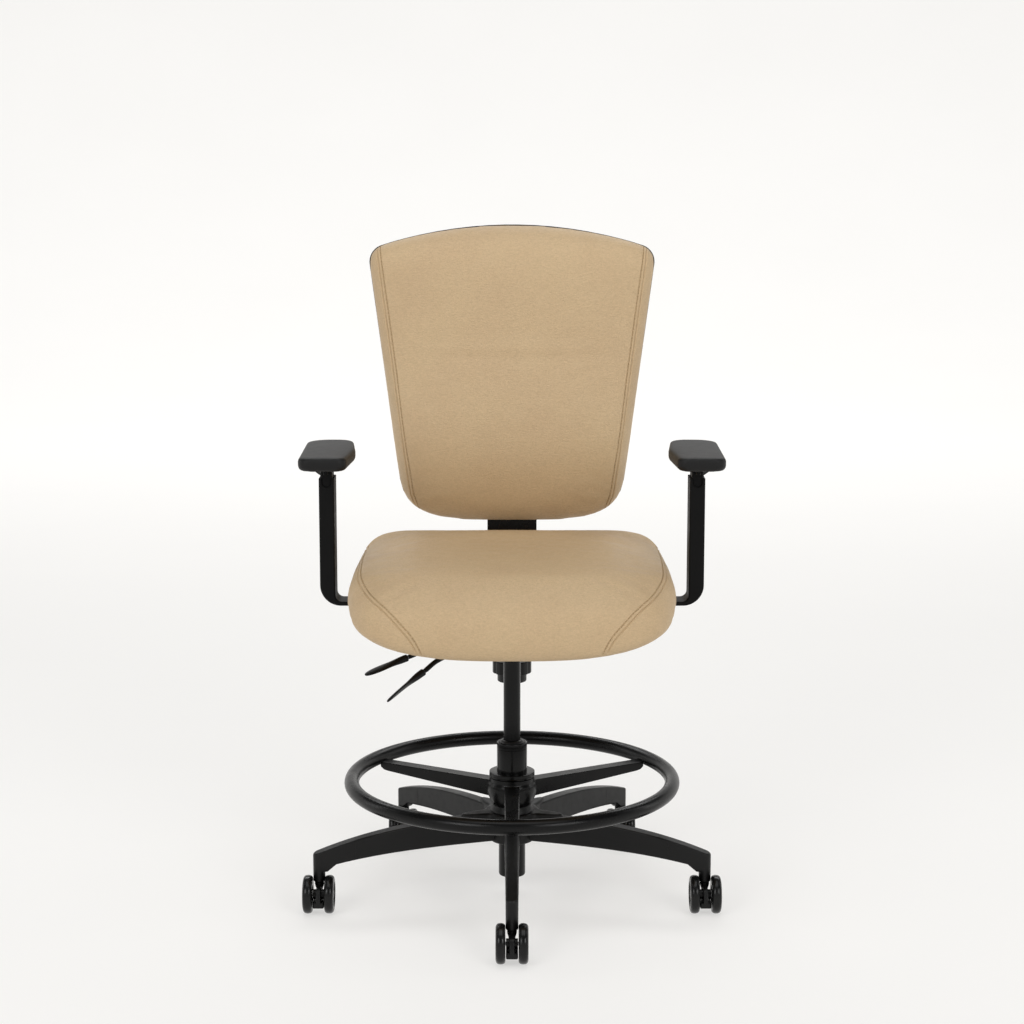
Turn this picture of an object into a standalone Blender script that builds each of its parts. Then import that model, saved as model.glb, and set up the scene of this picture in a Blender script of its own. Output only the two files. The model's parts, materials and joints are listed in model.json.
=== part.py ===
"""Drafting-height swivel stool: five-star base, gas column, foot ring, seat, back and arms.

Run with: blender --background --python part.py
Left and right are the sitter's own, so left is +X. The stool faces -Y.
Every piece is placed from the column's axis. The root empty moves that axis, so that the
origin is the middle of the stool's footprint, on the floor.
"""

from math import atan, cos, degrees, pi, radians, sin, sqrt

import bmesh
import bpy
from mathutils import Matrix, Vector

MM = 0.001

# Overall
COLUMN_Y = 43.0 * MM  # the column stands this far behind the middle of the footprint
FIT = 0.3 * MM  # gap between pieces that touch or run on each other

# Five-star base
LEG_COUNT = 5
STEM_CIRCLE_R = 330 * MM
LEG_OVERHANG = 11 * MM  # from a caster's stem to the leg's end face
LEG_ROOT_W = 25 * MM
LEG_END_W = 19.6 * MM
LEG_TOP_ROOT = 135 * MM
LEG_TOP_DROP = 40 * MM
LEG_TOP_POWER = 2.8
LEG_UNDER_ROOT = 90 * MM
LEG_UNDER_END = 65 * MM
LEG_UNDER_DROP = 19 * MM
LEG_UNDER_POWER = 3.4
LEG_CHAMFER = 2.2 * MM
POST_R = 9.8 * MM
POST_BOTTOM = 49 * MM
BASE_HUB_R = 37 * MM
BASE_HUB_TOP = 150 * MM
BASE_HUB_TOP_R = 32 * MM
BASE_HUB_BOTTOM = 87 * MM
WEB_R = 46 * MM
WEB_REACH = 44 * MM
WEB_TOP = 139 * MM
WEB_THICKNESS = 26 * MM
WEB_POWER = 7
SOCKET_DEPTH = 36 * MM

# Casters
WHEEL_R = 31 * MM
WHEEL_W = 15 * MM
WHEEL_GAP = 20.2 * MM
CASTER_TRAIL = 15 * MM
AXLE_R = 3 * MM
STEM_R = 5.5 * MM
CASTER_BODY_TOP = POST_BOTTOM - 1.2 * MM
CASTER_BOSS_R = 7.5 * MM
CASTER_WEB_W = 8.4 * MM
CASTER_SHOE_BOTTOM = 12 * MM
CASTER_SHOE_H = 9.5 * MM

# Gas column
TUBE_R = 25 * MM
TUBE_TOP = 255 * MM
TUBE_BOTTOM = 26 * MM
TUBE_FOOT_R = 22.2 * MM
TUBE_WALL = 2.5 * MM
TUBE_FLOOR = 5 * MM
PISTON_R = 14 * MM
PISTON_BOTTOM = 185 * MM
PISTON_TAPER_START = 408 * MM
PISTON_TOP = 440 * MM
PISTON_TOP_R = 13 * MM
PISTON_WALL = 2.2 * MM
ROD_R = 5 * MM
ROD_HEAD_R = 11.2 * MM
ROD_HEAD_BOTTOM = 212 * MM
ROD_HEAD_H = 9 * MM
BUSH_DEPTH = 62 * MM
BUSH_LIP_R = 17 * MM
BUSH_LIP_H = 3 * MM
BEARING_H = 6 * MM
BEARING_R = 14 * MM
CLIP_R = 10 * MM
CLIP_H = 3 * MM
VALVE_R = 4 * MM
VALVE_H = 6 * MM

# Foot ring
RING_R = 266 * MM
RING_TUBE_R = 12.2 * MM
RING_Z = 190 * MM
SPOKE_COUNT = 3
SPOKE_W = 25 * MM
SPOKE_END_W = 22 * MM
SPOKE_TOP = 187 * MM
SPOKE_ROOT_BOTTOM = 159 * MM
SPOKE_END_BOTTOM = 173 * MM
RING_HUB_BOTTOM = BASE_HUB_TOP + FIT
RING_HUB_TOP = 196.5 * MM
RING_HUB_R = 37.5 * MM
RING_BULB_R = 41.5 * MM
RING_BUSH_WALL = 3 * MM
COLLAR_H = 8.7 * MM
COLLAR_R = 37.8 * MM

# Seat mechanism
HOUSING_W = 116 * MM
HOUSING_FRONT = -105 * MM
HOUSING_REAR = 118 * MM
HOUSING_BOTTOM = 420 * MM
HOUSING_TOP = 472 * MM
HOUSING_REAR_TOP = 446 * MM
HOUSING_WALL = 3 * MM
TAPER_BOSS_R = 21 * MM
TILT_PIN_Y = -55 * MM
TILT_PIN_Z = 458 * MM
PIN_R = 5 * MM
KNOB_Y = 85 * MM
KNOB_BOTTOM = 338 * MM
KNOB_STEP_H = 15 * MM
KNOB_SMALL_R = 24.6 * MM
KNOB_R = 33 * MM
KNOB_H = 22 * MM
KNOB_SHANK_R = 14 * MM
KNOB_BOLT_R = 5.5 * MM
KNOB_FLUTES = 12
SPRING_R = 15 * MM
SPRING_WIRE_R = 2.4 * MM
SPRING_TURNS = 4
SPRING_CUP_H = 3 * MM

# Levers, on the sitter's right
LEVER_ROD_R = 4 * MM
LEVER_PIVOT_X = -24 * MM
HEIGHT_LEVER = ((3, 0, 450), (-24, -5, 450), (-58, -17, 447), (-112, -43, 434), (-168, -69, 414))
HEIGHT_PADDLE = ((-169, -69.5, 413.6), (-200, -84, 404), (-236, -101, 392))
BACK_LEVER = ((-18, -82, 441), (-24, -82, 441), (-58, -84, 437), (-114, -91, 417), (-140, -110, 401))
BACK_PADDLE = ((-141, -110.7, 400.3), (-168, -130, 383), (-198, -151, 361))
PADDLE_SLEEVE_R = 6 * MM
PADDLE_W = 27 * MM
PADDLE_T = 5.5 * MM

# Seat
PLATE_W = 200 * MM
PLATE_FRONT = -120 * MM
PLATE_REAR = 158 * MM
PLATE_TOP = 496.3 * MM
PLATE_T = 4 * MM
PLATE_LUG_T = 4 * MM
PAN_HALF_W = 226 * MM
PAN_FRONT = -192 * MM
PAN_REAR = 196 * MM
PAN_T = 8 * MM
PAN_CORNER = 60 * MM
CUSHION_HALF_W = 262 * MM
CUSHION_FRONT = -268 * MM
CUSHION_REAR = 217 * MM
CUSHION_TOP = 574 * MM
CUSHION_LIP = 451 * MM
CUSHION_LIP_FRONT = -198 * MM
CUSHION_NOSE = 497 * MM

# Back
BACK_HINGE_Y = 140 * MM
BACK_HINGE_Z = 462 * MM
UPRIGHT_W = 86 * MM
UPRIGHT_T = 8 * MM
UPRIGHT_HEEL_Y = 245 * MM
UPRIGHT_HEEL_Z = 452 * MM
UPRIGHT_TOP_Z = 815 * MM
UPRIGHT_BEND_R = 34 * MM
BACK_LEAN = atan(0.09)
BRACKET_SIDE = 7.5 * MM
BRACKET_W = UPRIGHT_W + 2 * BRACKET_SIDE
BRACKET_T = 26 * MM
BRACKET_BOTTOM = 589 * MM
BRACKET_H = 130 * MM
SHELL_T = 11 * MM
BACK_CUSHION_T = 60 * MM
BACK_BOTTOM = 586 * MM
BACK_TOP = 1093 * MM
BACK_LOW_HALF_W = 198.2 * MM
BACK_LOW_Z = 681 * MM
BACK_FLARE = 0.1353
BACK_ROUND_BOTTOM = 92 * MM
BACK_ROUND_TOP = 86 * MM
LUMBAR_Z = 725 * MM
LUMBAR_H = 95 * MM
LUMBAR_DEPTH = 18 * MM

# Arms
ARM_GAP = 26 * MM  # from the seat cushion's side to the upright
ARM_W = 25 * MM
ARM_X = CUSHION_HALF_W + ARM_GAP + ARM_W / 2
ARM_DEPTH = 50 * MM
ARM_TOP = 699 * MM
ARM_BAR_T = 7 * MM
ARM_BAR_END_X = 112 * MM
ARM_BEND_R = 34 * MM
ARM_INNER_BEND_R = 11 * MM
ARM_WALL = 3 * MM
ARM_POCKET_FLOOR = 540 * MM
SLIDER_BOTTOM = 562 * MM
PAD_BOTTOM = 724 * MM
PAD_T = 22 * MM
PAD_W = 86 * MM
PAD_LENGTH = 238 * MM
PAD_PLATE_T = 5 * MM
TAB_Z = 703 * MM
TAB_LENGTH = 14 * MM
TAB_W = 18 * MM
TAB_T = 2.6 * MM

ROUND = 30  # facets round a large turned piece
SMALL_ROUND = 14  # facets round a pin or a bore

for old in list(bpy.data.objects):
    bpy.data.objects.remove(old, do_unlink=True)

scene = bpy.context.scene
parts = bpy.data.collections.new("swivel_stool")
cutters = bpy.data.collections.new("cutters")
scene.collection.children.link(parts)
scene.collection.children.link(cutters)
cutters.hide_render = True


def material(name, colour, roughness, metallic=0.0):
    """A plain Principled material."""
    made = bpy.data.materials.new(name)
    made.use_nodes = True
    shader = made.node_tree.nodes["Principled BSDF"]
    shader.inputs["Base Color"].default_value = (*colour, 1)
    shader.inputs["Roughness"].default_value = roughness
    shader.inputs["Metallic"].default_value = metallic
    return made


BLACK_NYLON = material("black_nylon", (0.012, 0.012, 0.013), 0.42)
BLACK_PAINT = material("black_powder_coat", (0.010, 0.010, 0.011), 0.35)
WHEEL_PLASTIC = material("wheel_plastic", (0.014, 0.014, 0.015), 0.30)
PAD_FOAM = material("pad_urethane", (0.060, 0.060, 0.061), 0.55)
TAN_LEATHER = material("tan_leather", (0.520, 0.370, 0.225), 0.55)
PLYWOOD = material("moulded_plywood", (0.450, 0.300, 0.160), 0.60)
STEEL = material("bright_steel", (0.560, 0.560, 0.570), 0.30, 1.0)
NATURAL_NYLON = material("natural_nylon", (0.650, 0.630, 0.560), 0.45)


def empty(name, location, parent=None, lean=0.0):
    """A helper on a joint's axis, turned by lean about X."""
    made = bpy.data.objects.new(name, None)
    parts.objects.link(made)
    made.location = location
    made.rotation_euler.x = lean
    made.parent = parent
    return made


def add(name, mesh, look, parent, location=(0, 0, 0), rotation=(0, 0, 0)):
    """Puts a mesh in the scene as one named piece."""
    made = bpy.data.objects.new(name, mesh)
    parts.objects.link(made)
    made.parent = parent
    made.location = location
    made.rotation_euler = rotation
    mesh.materials.clear()
    mesh.materials.append(look)
    return made


def mesh_from(name, build, sharp=35):
    """A mesh made by build(bm), with its faces turned outwards and its round sides smooth."""
    bm = bmesh.new()
    build(bm)
    bmesh.ops.recalc_face_normals(bm, faces=bm.faces)
    mesh = bpy.data.meshes.new(name)
    bm.to_mesh(mesh)
    bm.free()
    mesh.shade_smooth()
    mesh.set_sharp_from_angle(angle=radians(sharp))
    return mesh


def turned(name, profile, closed=False, steps=ROUND):
    """A turned mesh about Z. The profile of (radius, height) runs down its outer side."""
    bm = bmesh.new()
    points = [bm.verts.new((r, 0, z)) for r, z in profile]
    for a, b in zip(points, points[1:]):
        bm.edges.new((a, b))
    if closed:
        bm.edges.new((points[-1], points[0]))
    line = bpy.data.meshes.new(name + "_profile")
    bm.to_mesh(line)
    bm.free()
    holder = bpy.data.objects.new(name + "_lathe", line)
    parts.objects.link(holder)
    screw = holder.modifiers.new("turn", "SCREW")
    screw.axis = "Z"
    screw.angle = 2 * pi
    screw.steps = steps
    screw.render_steps = steps
    screw.use_merge_vertices = True
    screw.merge_threshold = 0.00001
    screw.use_smooth_shade = True
    return applied(holder, name)


def applied(holder, name):
    """The evaluated mesh of a holder, with its loose caps welded. The holder is removed."""
    bpy.context.view_layer.update()
    graph = bpy.context.evaluated_depsgraph_get()
    mesh = bpy.data.meshes.new_from_object(holder.evaluated_get(graph))
    mesh.transform(holder.matrix_world)
    bm = bmesh.new()
    bm.from_mesh(mesh)
    bmesh.ops.remove_doubles(bm, verts=bm.verts, dist=0.00001)
    bm.to_mesh(mesh)
    bm.free()
    bpy.data.objects.remove(holder, do_unlink=True)
    mesh.name = name
    mesh.shade_smooth()
    mesh.set_sharp_from_angle(angle=radians(35))
    return mesh


def poly_curve(name, dimensions, points, cyclic):
    """A curve object of one POLY spline through the points."""
    curve = bpy.data.curves.new(name, "CURVE")
    curve.dimensions = dimensions
    spline = curve.splines.new("POLY")
    spline.points.add(len(points) - 1)
    for place, point in zip(spline.points, points):
        place.co = (*point, *(0,) * (3 - len(point)), 1)
    spline.use_cyclic_u = cyclic
    holder = bpy.data.objects.new(name + "_curve", curve)
    parts.objects.link(holder)
    return holder


def cut_from_plate(name, outline, thickness):
    """A flat plate with this outline in XY, its thickness centred on Z = 0."""
    holder = poly_curve(name, "2D", outline, True)
    holder.data.fill_mode = "BOTH"
    holder.data.extrude = thickness / 2
    return applied(holder, name)


def rod_along(name, points, radius, sides=2):
    """A round rod with filled ends along the points."""
    holder = poly_curve(name, "3D", points, False)
    holder.data.bevel_depth = radius
    holder.data.bevel_resolution = sides
    holder.data.use_fill_caps = True
    return applied(holder, name)


def smooth_path(points, per_span=4):
    """Points on a smooth curve (Catmull-Rom) through the given points, in millimetres."""
    knots = [Vector(p) * MM for p in points]
    knots = [2 * knots[0] - knots[1], *knots, 2 * knots[-1] - knots[-2]]
    path = []
    for a, b, c, d in zip(knots, knots[1:], knots[2:], knots[3:]):
        for i in range(per_span):
            t = i / per_span
            bend = (2 * a - 5 * b + 4 * c - d) * t * t + (3 * b - a - 3 * c + d) * t**3
            path.append((2 * b + (c - a) * t + bend) / 2)
    path.append(knots[-2])
    return path


def filleted(corners, steps=5):
    """The outline through (x, y, radius) corners, each rounded with an arc of its radius."""
    outline = []
    for i, (x, y, radius) in enumerate(corners):
        corner = Vector((x, y))
        before = (Vector(corners[i - 1][:2]) - corner).normalized()
        after = (Vector(corners[(i + 1) % len(corners)][:2]) - corner).normalized()
        if radius == 0:
            outline.append(corner)
            continue
        half = before.angle(after) / 2
        centre = corner + (before + after).normalized() * (radius / sin(half))
        start = corner + before * (radius * cos(half) / sin(half)) - centre
        turn = start.angle_signed(corner + after * (radius * cos(half) / sin(half)) - centre)
        for step in range(steps + 1):
            # angle_signed is positive clockwise
            outline.append(centre + Matrix.Rotation(-turn * step / steps, 2) @ start)
    return outline


def loft(bm, sections):
    """Joins closed sections of equal count by quads, and closes the two ends."""
    rings = [[bm.verts.new(point) for point in section] for section in sections]
    for low, high in zip(rings, rings[1:]):
        for i in range(len(low)):
            j = (i + 1) % len(low)
            bm.faces.new((low[i], low[j], high[j], high[i]))
    bm.faces.new(rings[0])
    bm.faces.new(rings[-1])


def cutter(name, mesh, parent, location=(0, 0, 0), rotation=(0, 0, 0)):
    """A hidden piece that Booleans use."""
    made = bpy.data.objects.new(name, mesh)
    cutters.objects.link(made)
    made.parent = parent
    made.location = location
    made.rotation_euler = rotation
    made.hide_render = True
    made.display_type = "WIRE"
    return made


def boolean(target, other, operation):
    """Joins or cuts the target with the other piece."""
    step = target.modifiers.new(f"{operation.lower()}_{other.name}", "BOOLEAN")
    step.object = other
    step.operation = operation
    step.solver = "EXACT"


def rod_mesh(name, radius, low, high, steps=SMALL_ROUND):
    """A plain cylinder mesh about Z from low to high."""

    def build(bm):
        place = Matrix.Translation((0, 0, (low + high) / 2))
        bmesh.ops.create_cone(bm, cap_ends=True, segments=steps, radius1=radius,
                              radius2=radius, depth=high - low, matrix=place)

    return mesh_from(name, build)


def box_mesh(name, low, high):
    """A plain box mesh between two corners."""

    def build(bm):
        size = Vector(high) - Vector(low)
        middle = (Vector(high) + Vector(low)) / 2
        place = Matrix.Translation(middle) @ Matrix.Diagonal((*size, 1))
        bmesh.ops.create_cube(bm, size=1, matrix=place)

    return mesh_from(name, build)


def rounded_edges(target, width, segments=1, angle=40):
    """A Bevel on the piece's sharp edges."""
    bevel = target.modifiers.new("edges", "BEVEL")
    bevel.width = width
    bevel.segments = segments
    bevel.limit_method = "ANGLE"
    bevel.angle_limit = radians(angle)


def superellipse(share, power):
    """Height of a rounded corner, 1 at share 0 and 0 at share 1."""
    return max(0.0, 1 - min(1.0, share) ** power) ** (1 / power)


# ---------------------------------------------------------------- joint helpers
root = empty("stool", (0, COLUMN_Y, 0))
ring_axis = empty("foot_ring_axis", (0, 0, 0), root)
swivel_axis = empty("swivel_axis", (0, 0, 0), root)
mechanism = empty("lift_axis", (0, 0, 0), swivel_axis)
seat_tilt = empty("seat_tilt_axis", (0, TILT_PIN_Y, TILT_PIN_Z), mechanism)
seat = empty("seat_frame", (0, -TILT_PIN_Y, -TILT_PIN_Z), seat_tilt)
recline = empty("recline_axis", (0, BACK_HINGE_Y, BACK_HINGE_Z), seat)


def along_upright(z):
    """Depth of the back upright's centre line at height z."""
    return UPRIGHT_HEEL_Y + (z - UPRIGHT_HEEL_Z) * sin(BACK_LEAN) / cos(BACK_LEAN)


# The back's own frame: on the upright's centre line, leaning back with it.
back_slide = empty(
    "back_slide_axis",
    (0, along_upright(BACK_BOTTOM) - BACK_HINGE_Y, BACK_BOTTOM - BACK_HINGE_Z),
    recline,
    -BACK_LEAN,
)


def up_back(z):
    """A height on the back, measured along its leaning frame."""
    return (z - BACK_BOTTOM) / cos(BACK_LEAN)


# ---------------------------------------------------------------- base
def leg_top(r):
    """Height of a leg's arched top at radius r."""
    return LEG_TOP_ROOT - LEG_TOP_DROP * (r / (STEM_CIRCLE_R + LEG_OVERHANG)) ** LEG_TOP_POWER


def leg_under(r):
    """Height of a leg's arched underside at radius r."""
    return LEG_UNDER_ROOT - LEG_UNDER_DROP * (r / STEM_CIRCLE_R) ** LEG_UNDER_POWER


def leg_mesh():
    """One leg along +X: an arched side profile, narrower towards its end."""
    end = STEM_CIRCLE_R + LEG_OVERHANG
    inner = BASE_HUB_TOP_R * 0.5
    stations = [inner + (end - inner) * i / 9 for i in range(10)]
    post_inner = STEM_CIRCLE_R - POST_R
    under = [r for r in stations if r < post_inner - 8 * MM]
    outline = [Vector((r, leg_top(r))) for r in stations]
    outline.append(Vector((end, LEG_UNDER_END)))
    outline.append(Vector((post_inner, LEG_UNDER_END)))
    outline += [Vector((r, leg_under(r))) for r in reversed(under)]
    mesh = cut_from_plate("leg", outline, LEG_ROOT_W)
    for point in mesh.vertices:
        share = (point.co.x - inner) / (end - inner)
        point.co.z *= (LEG_ROOT_W + (LEG_END_W - LEG_ROOT_W) * share) / LEG_ROOT_W
    mesh.transform(Matrix.Rotation(pi / 2, 4, "X"))
    return mesh


def leg_angle(number):
    """Direction of a leg or caster about the column: the first points to the front."""
    return -pi / 2 + number * 2 * pi / LEG_COUNT


def build_base():
    hub = turned("base_star", (
        (0, BASE_HUB_TOP), (BASE_HUB_TOP_R - 2 * MM, BASE_HUB_TOP),
        (BASE_HUB_TOP_R, BASE_HUB_TOP - 2 * MM), (BASE_HUB_R, WEB_TOP - 4 * MM),
        (BASE_HUB_R, BASE_HUB_BOTTOM + 3 * MM), (BASE_HUB_R - 3 * MM, BASE_HUB_BOTTOM),
        (0, BASE_HUB_BOTTOM)))
    star = add("base_star", hub, BLACK_NYLON, root)
    leg = leg_mesh()
    post = rod_mesh("leg_post", POST_R, POST_BOTTOM, leg_top(STEM_CIRCLE_R) - 8 * MM, ROUND)
    socket = rod_mesh("stem_socket", STEM_R + FIT, POST_BOTTOM - MM, POST_BOTTOM + SOCKET_DEPTH)
    web = []
    for i in range(60):
        angle = i * 2 * pi / 60
        near = abs(cos((angle - leg_angle(0)) * LEG_COUNT / 2)) ** WEB_POWER
        reach = WEB_R + WEB_REACH * near
        web.append(Vector((reach * cos(angle), reach * sin(angle))))
    webs = cutter("webs", cut_from_plate("webs", web, WEB_THICKNESS), root,
                  (0, 0, WEB_TOP - WEB_THICKNESS / 2))
    rounded_edges(webs, 3 * MM)
    boolean(star, webs, "UNION")
    for number in range(LEG_COUNT):
        angle = leg_angle(number)
        arm = cutter(f"leg_{number + 1}", leg, root, rotation=(0, 0, angle))
        rounded_edges(arm, LEG_CHAMFER, angle=50)
        boolean(star, arm, "UNION")
    for number in range(LEG_COUNT):
        angle = leg_angle(number)
        spot = (STEM_CIRCLE_R * cos(angle), STEM_CIRCLE_R * sin(angle), 0)
        boolean(star, cutter(f"post_{number + 1}", post, root, spot), "UNION")
        boolean(star, cutter(f"socket_{number + 1}", socket, root, spot), "DIFFERENCE")
    taper = turned("hub_taper", tube_outline(FIT))
    boolean(star, cutter("hub_taper", taper, root), "DIFFERENCE")


def tube_outline(clearance):
    """Outer profile of the column's tube, which tapers through the base hub."""
    return (
        (0, TUBE_TOP), (TUBE_R + clearance, TUBE_TOP),
        (TUBE_R + clearance, BASE_HUB_TOP), (TUBE_FOOT_R + clearance, BASE_HUB_BOTTOM),
        (TUBE_FOOT_R + clearance, TUBE_BOTTOM + 3 * MM),
        (TUBE_FOOT_R - 3 * MM + clearance, TUBE_BOTTOM), (0, TUBE_BOTTOM))


# ---------------------------------------------------------------- column
def build_column():
    outer = tube_outline(0)[1:-1]
    wall = TUBE_WALL
    tube = turned("column_tube", (
        (TUBE_R - MM, TUBE_TOP), (TUBE_R, TUBE_TOP - MM), *outer[1:],
        (ROD_R + FIT, TUBE_BOTTOM), (ROD_R + FIT, TUBE_BOTTOM + TUBE_FLOOR),
        (TUBE_FOOT_R - wall, TUBE_BOTTOM + TUBE_FLOOR), (TUBE_FOOT_R - wall, BASE_HUB_BOTTOM),
        (TUBE_R - wall, BASE_HUB_TOP), (TUBE_R - wall, TUBE_TOP)), closed=True)
    add("column_tube", tube, BLACK_PAINT, root)
    bush = turned("guide_bush", (
        (BUSH_LIP_R - MM, TUBE_TOP + BUSH_LIP_H), (BUSH_LIP_R, TUBE_TOP + BUSH_LIP_H - MM),
        (BUSH_LIP_R, TUBE_TOP - MM), (TUBE_R - wall - FIT, TUBE_TOP - MM),
        (TUBE_R - wall - FIT, TUBE_TOP - BUSH_DEPTH), (PISTON_R + FIT, TUBE_TOP - BUSH_DEPTH),
        (PISTON_R + FIT, TUBE_TOP + BUSH_LIP_H)), closed=True)
    add("guide_bush", bush, BLACK_NYLON, root)
    floor = TUBE_BOTTOM + TUBE_FLOOR
    bearing = turned("thrust_bearing", (
        (BEARING_R, floor + FIT + BEARING_H), (BEARING_R, floor + FIT),
        (ROD_R + FIT, floor + FIT), (ROD_R + FIT, floor + FIT + BEARING_H)), closed=True)
    add("thrust_bearing", bearing, STEEL, root)
    clip_top = TUBE_BOTTOM - FIT
    clip = turned("retaining_clip", (
        (CLIP_R, clip_top), (CLIP_R, clip_top - CLIP_H),
        (ROD_R + FIT, clip_top - CLIP_H), (ROD_R + FIT, clip_top)), closed=True)
    add("retaining_clip", clip, STEEL, root)
    rod_foot = clip_top - CLIP_H - 2 * MM
    rod = turned("lift_rod", (
        (0, ROD_HEAD_BOTTOM + ROD_HEAD_H), (ROD_HEAD_R, ROD_HEAD_BOTTOM + ROD_HEAD_H),
        (ROD_HEAD_R, ROD_HEAD_BOTTOM), (ROD_R, ROD_HEAD_BOTTOM), (ROD_R, rod_foot),
        (0, rod_foot)), steps=SMALL_ROUND)
    add("lift_rod", rod, STEEL, swivel_axis)
    end_cap = 8 * MM
    bore = PISTON_R - PISTON_WALL
    valve_bore = VALVE_R + FIT
    valve_seat = PISTON_TOP - 8 * MM
    piston = turned("gas_cylinder", (
        (PISTON_TOP_R - MM, PISTON_TOP), (PISTON_TOP_R, PISTON_TOP - MM),
        (PISTON_R, PISTON_TAPER_START), (PISTON_R, PISTON_BOTTOM),
        (ROD_R + FIT, PISTON_BOTTOM), (ROD_R + FIT, PISTON_BOTTOM + end_cap),
        (bore, PISTON_BOTTOM + end_cap), (bore, PISTON_TAPER_START - 10 * MM),
        (valve_bore - MM, PISTON_TAPER_START - 10 * MM), (valve_bore - MM, valve_seat),
        (valve_bore, valve_seat), (valve_bore, PISTON_TOP)), closed=True)
    add("gas_cylinder", piston, BLACK_PAINT, mechanism)
    valve_low = valve_seat + 4.5 * MM
    valve = rod_mesh("valve_pin", VALVE_R, valve_low, PISTON_TOP + VALVE_H - FIT)
    add("valve_pin", valve, STEEL, mechanism)


# ---------------------------------------------------------------- casters
def wheel_mesh():
    """A wheel turned about Z: its inner face is at 0, its outer face at WHEEL_W."""
    recess = 1.6 * MM
    return turned("caster_wheel", (
        (0, WHEEL_W - recess), (20 * MM, WHEEL_W - recess), (22 * MM, WHEEL_W),
        (WHEEL_R - 4.5 * MM, WHEEL_W), (WHEEL_R - 1.2 * MM, WHEEL_W - 1.6 * MM),
        (WHEEL_R, WHEEL_W - 4.5 * MM), (WHEEL_R, 4 * MM), (WHEEL_R - 1.2 * MM, 1.4 * MM),
        (WHEEL_R - 4 * MM, 0), (AXLE_R + FIT, 0), (AXLE_R + FIT, WHEEL_W - 5 * MM),
        (0, WHEEL_W - 5 * MM)), steps=24)


def caster_side():
    """Outline, in the plane between the wheels, of the body's web: (forward, up)."""
    boss = CASTER_BOSS_R - 1.7 * MM
    return filleted((
        (-boss, CASTER_BODY_TOP - 4 * MM, 0), (boss, CASTER_BODY_TOP - 4 * MM, 0),
        (CASTER_TRAIL + 12 * MM, CASTER_BODY_TOP - 6 * MM, 8 * MM),
        (CASTER_TRAIL + 21 * MM, WHEEL_R - 4 * MM, 6 * MM),
        (CASTER_TRAIL + 17 * MM, CASTER_SHOE_BOTTOM + MM, 0),
        (-4 * MM, CASTER_SHOE_BOTTOM + MM, 0), (-boss, CASTER_SHOE_BOTTOM + 12 * MM, 4 * MM)), 4)


def build_casters():
    wheel = wheel_mesh()
    web = cut_from_plate("caster_web", caster_side(), CASTER_WEB_W)
    # The outline's own X is forward and its Y is up, so it is stood up facing -Y.
    web.transform(Matrix.Rotation(-pi / 2, 4, "Z") @ Matrix.Rotation(pi / 2, 4, "X"))
    inner_w = WHEEL_GAP - 1.6 * MM
    shoe = box_mesh(
        "caster_shoe",
        (-inner_w / 2, -CASTER_TRAIL - 18.4 * MM, CASTER_SHOE_BOTTOM),
        (inner_w / 2, 3 * MM, CASTER_SHOE_BOTTOM + CASTER_SHOE_H))
    boss = rod_mesh("caster_boss", CASTER_BOSS_R, CASTER_SHOE_BOTTOM + 4 * MM, CASTER_BODY_TOP)
    stem = rod_mesh("caster_stem", STEM_R, CASTER_BODY_TOP - 3 * MM,
                    POST_BOTTOM + SOCKET_DEPTH - MM)
    axle_boss = rod_mesh("axle_boss", 8 * MM, -inner_w / 2, inner_w / 2)
    axle_hole = rod_mesh("axle_hole", AXLE_R + FIT, -inner_w, inner_w)
    axle_end = WHEEL_GAP / 2 + WHEEL_W - 5 * MM - FIT
    axle = rod_mesh("caster_axle", AXLE_R, -axle_end, axle_end)
    for number in range(LEG_COUNT):
        angle = leg_angle(number)
        name = f"caster_{number + 1}"
        swivel = empty(name + "_swivel",
                       (STEM_CIRCLE_R * cos(angle), STEM_CIRCLE_R * sin(angle), 0), root)
        spin = empty(name + "_spin", (0, -CASTER_TRAIL, WHEEL_R), swivel)
        body = add(name + "_body", boss.copy(), BLACK_NYLON, swivel)
        for label, piece in (("web", web), ("shoe", shoe), ("stem", stem)):
            boolean(body, cutter(f"{name}_{label}", piece, swivel), "UNION")
        across = (0, pi / 2, 0)
        boolean(body, cutter(name + "_axle_boss", axle_boss, spin, rotation=across), "UNION")
        boolean(body, cutter(name + "_axle_hole", axle_hole, spin, rotation=across), "DIFFERENCE")
        add(name + "_axle", axle, STEEL, spin, rotation=across)
        add(name + "_wheel_right", wheel, WHEEL_PLASTIC, spin,
            (-WHEEL_GAP / 2, 0, 0), (0, -pi / 2, 0))
        add(name + "_wheel_left", wheel, WHEEL_PLASTIC, spin,
            (WHEEL_GAP / 2, 0, 0), (0, pi / 2, 0))


# ---------------------------------------------------------------- foot ring
def spoke_section(r, width, bottom):
    """A spoke's cross-section at radius r, with small chamfers on its top."""
    half = width / 2
    chamfer = 3 * MM
    return [
        (r, -half, bottom), (r, half, bottom), (r, half, SPOKE_TOP - chamfer),
        (r, half - chamfer, SPOKE_TOP), (r, chamfer - half, SPOKE_TOP),
        (r, -half, SPOKE_TOP - chamfer)]


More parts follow.
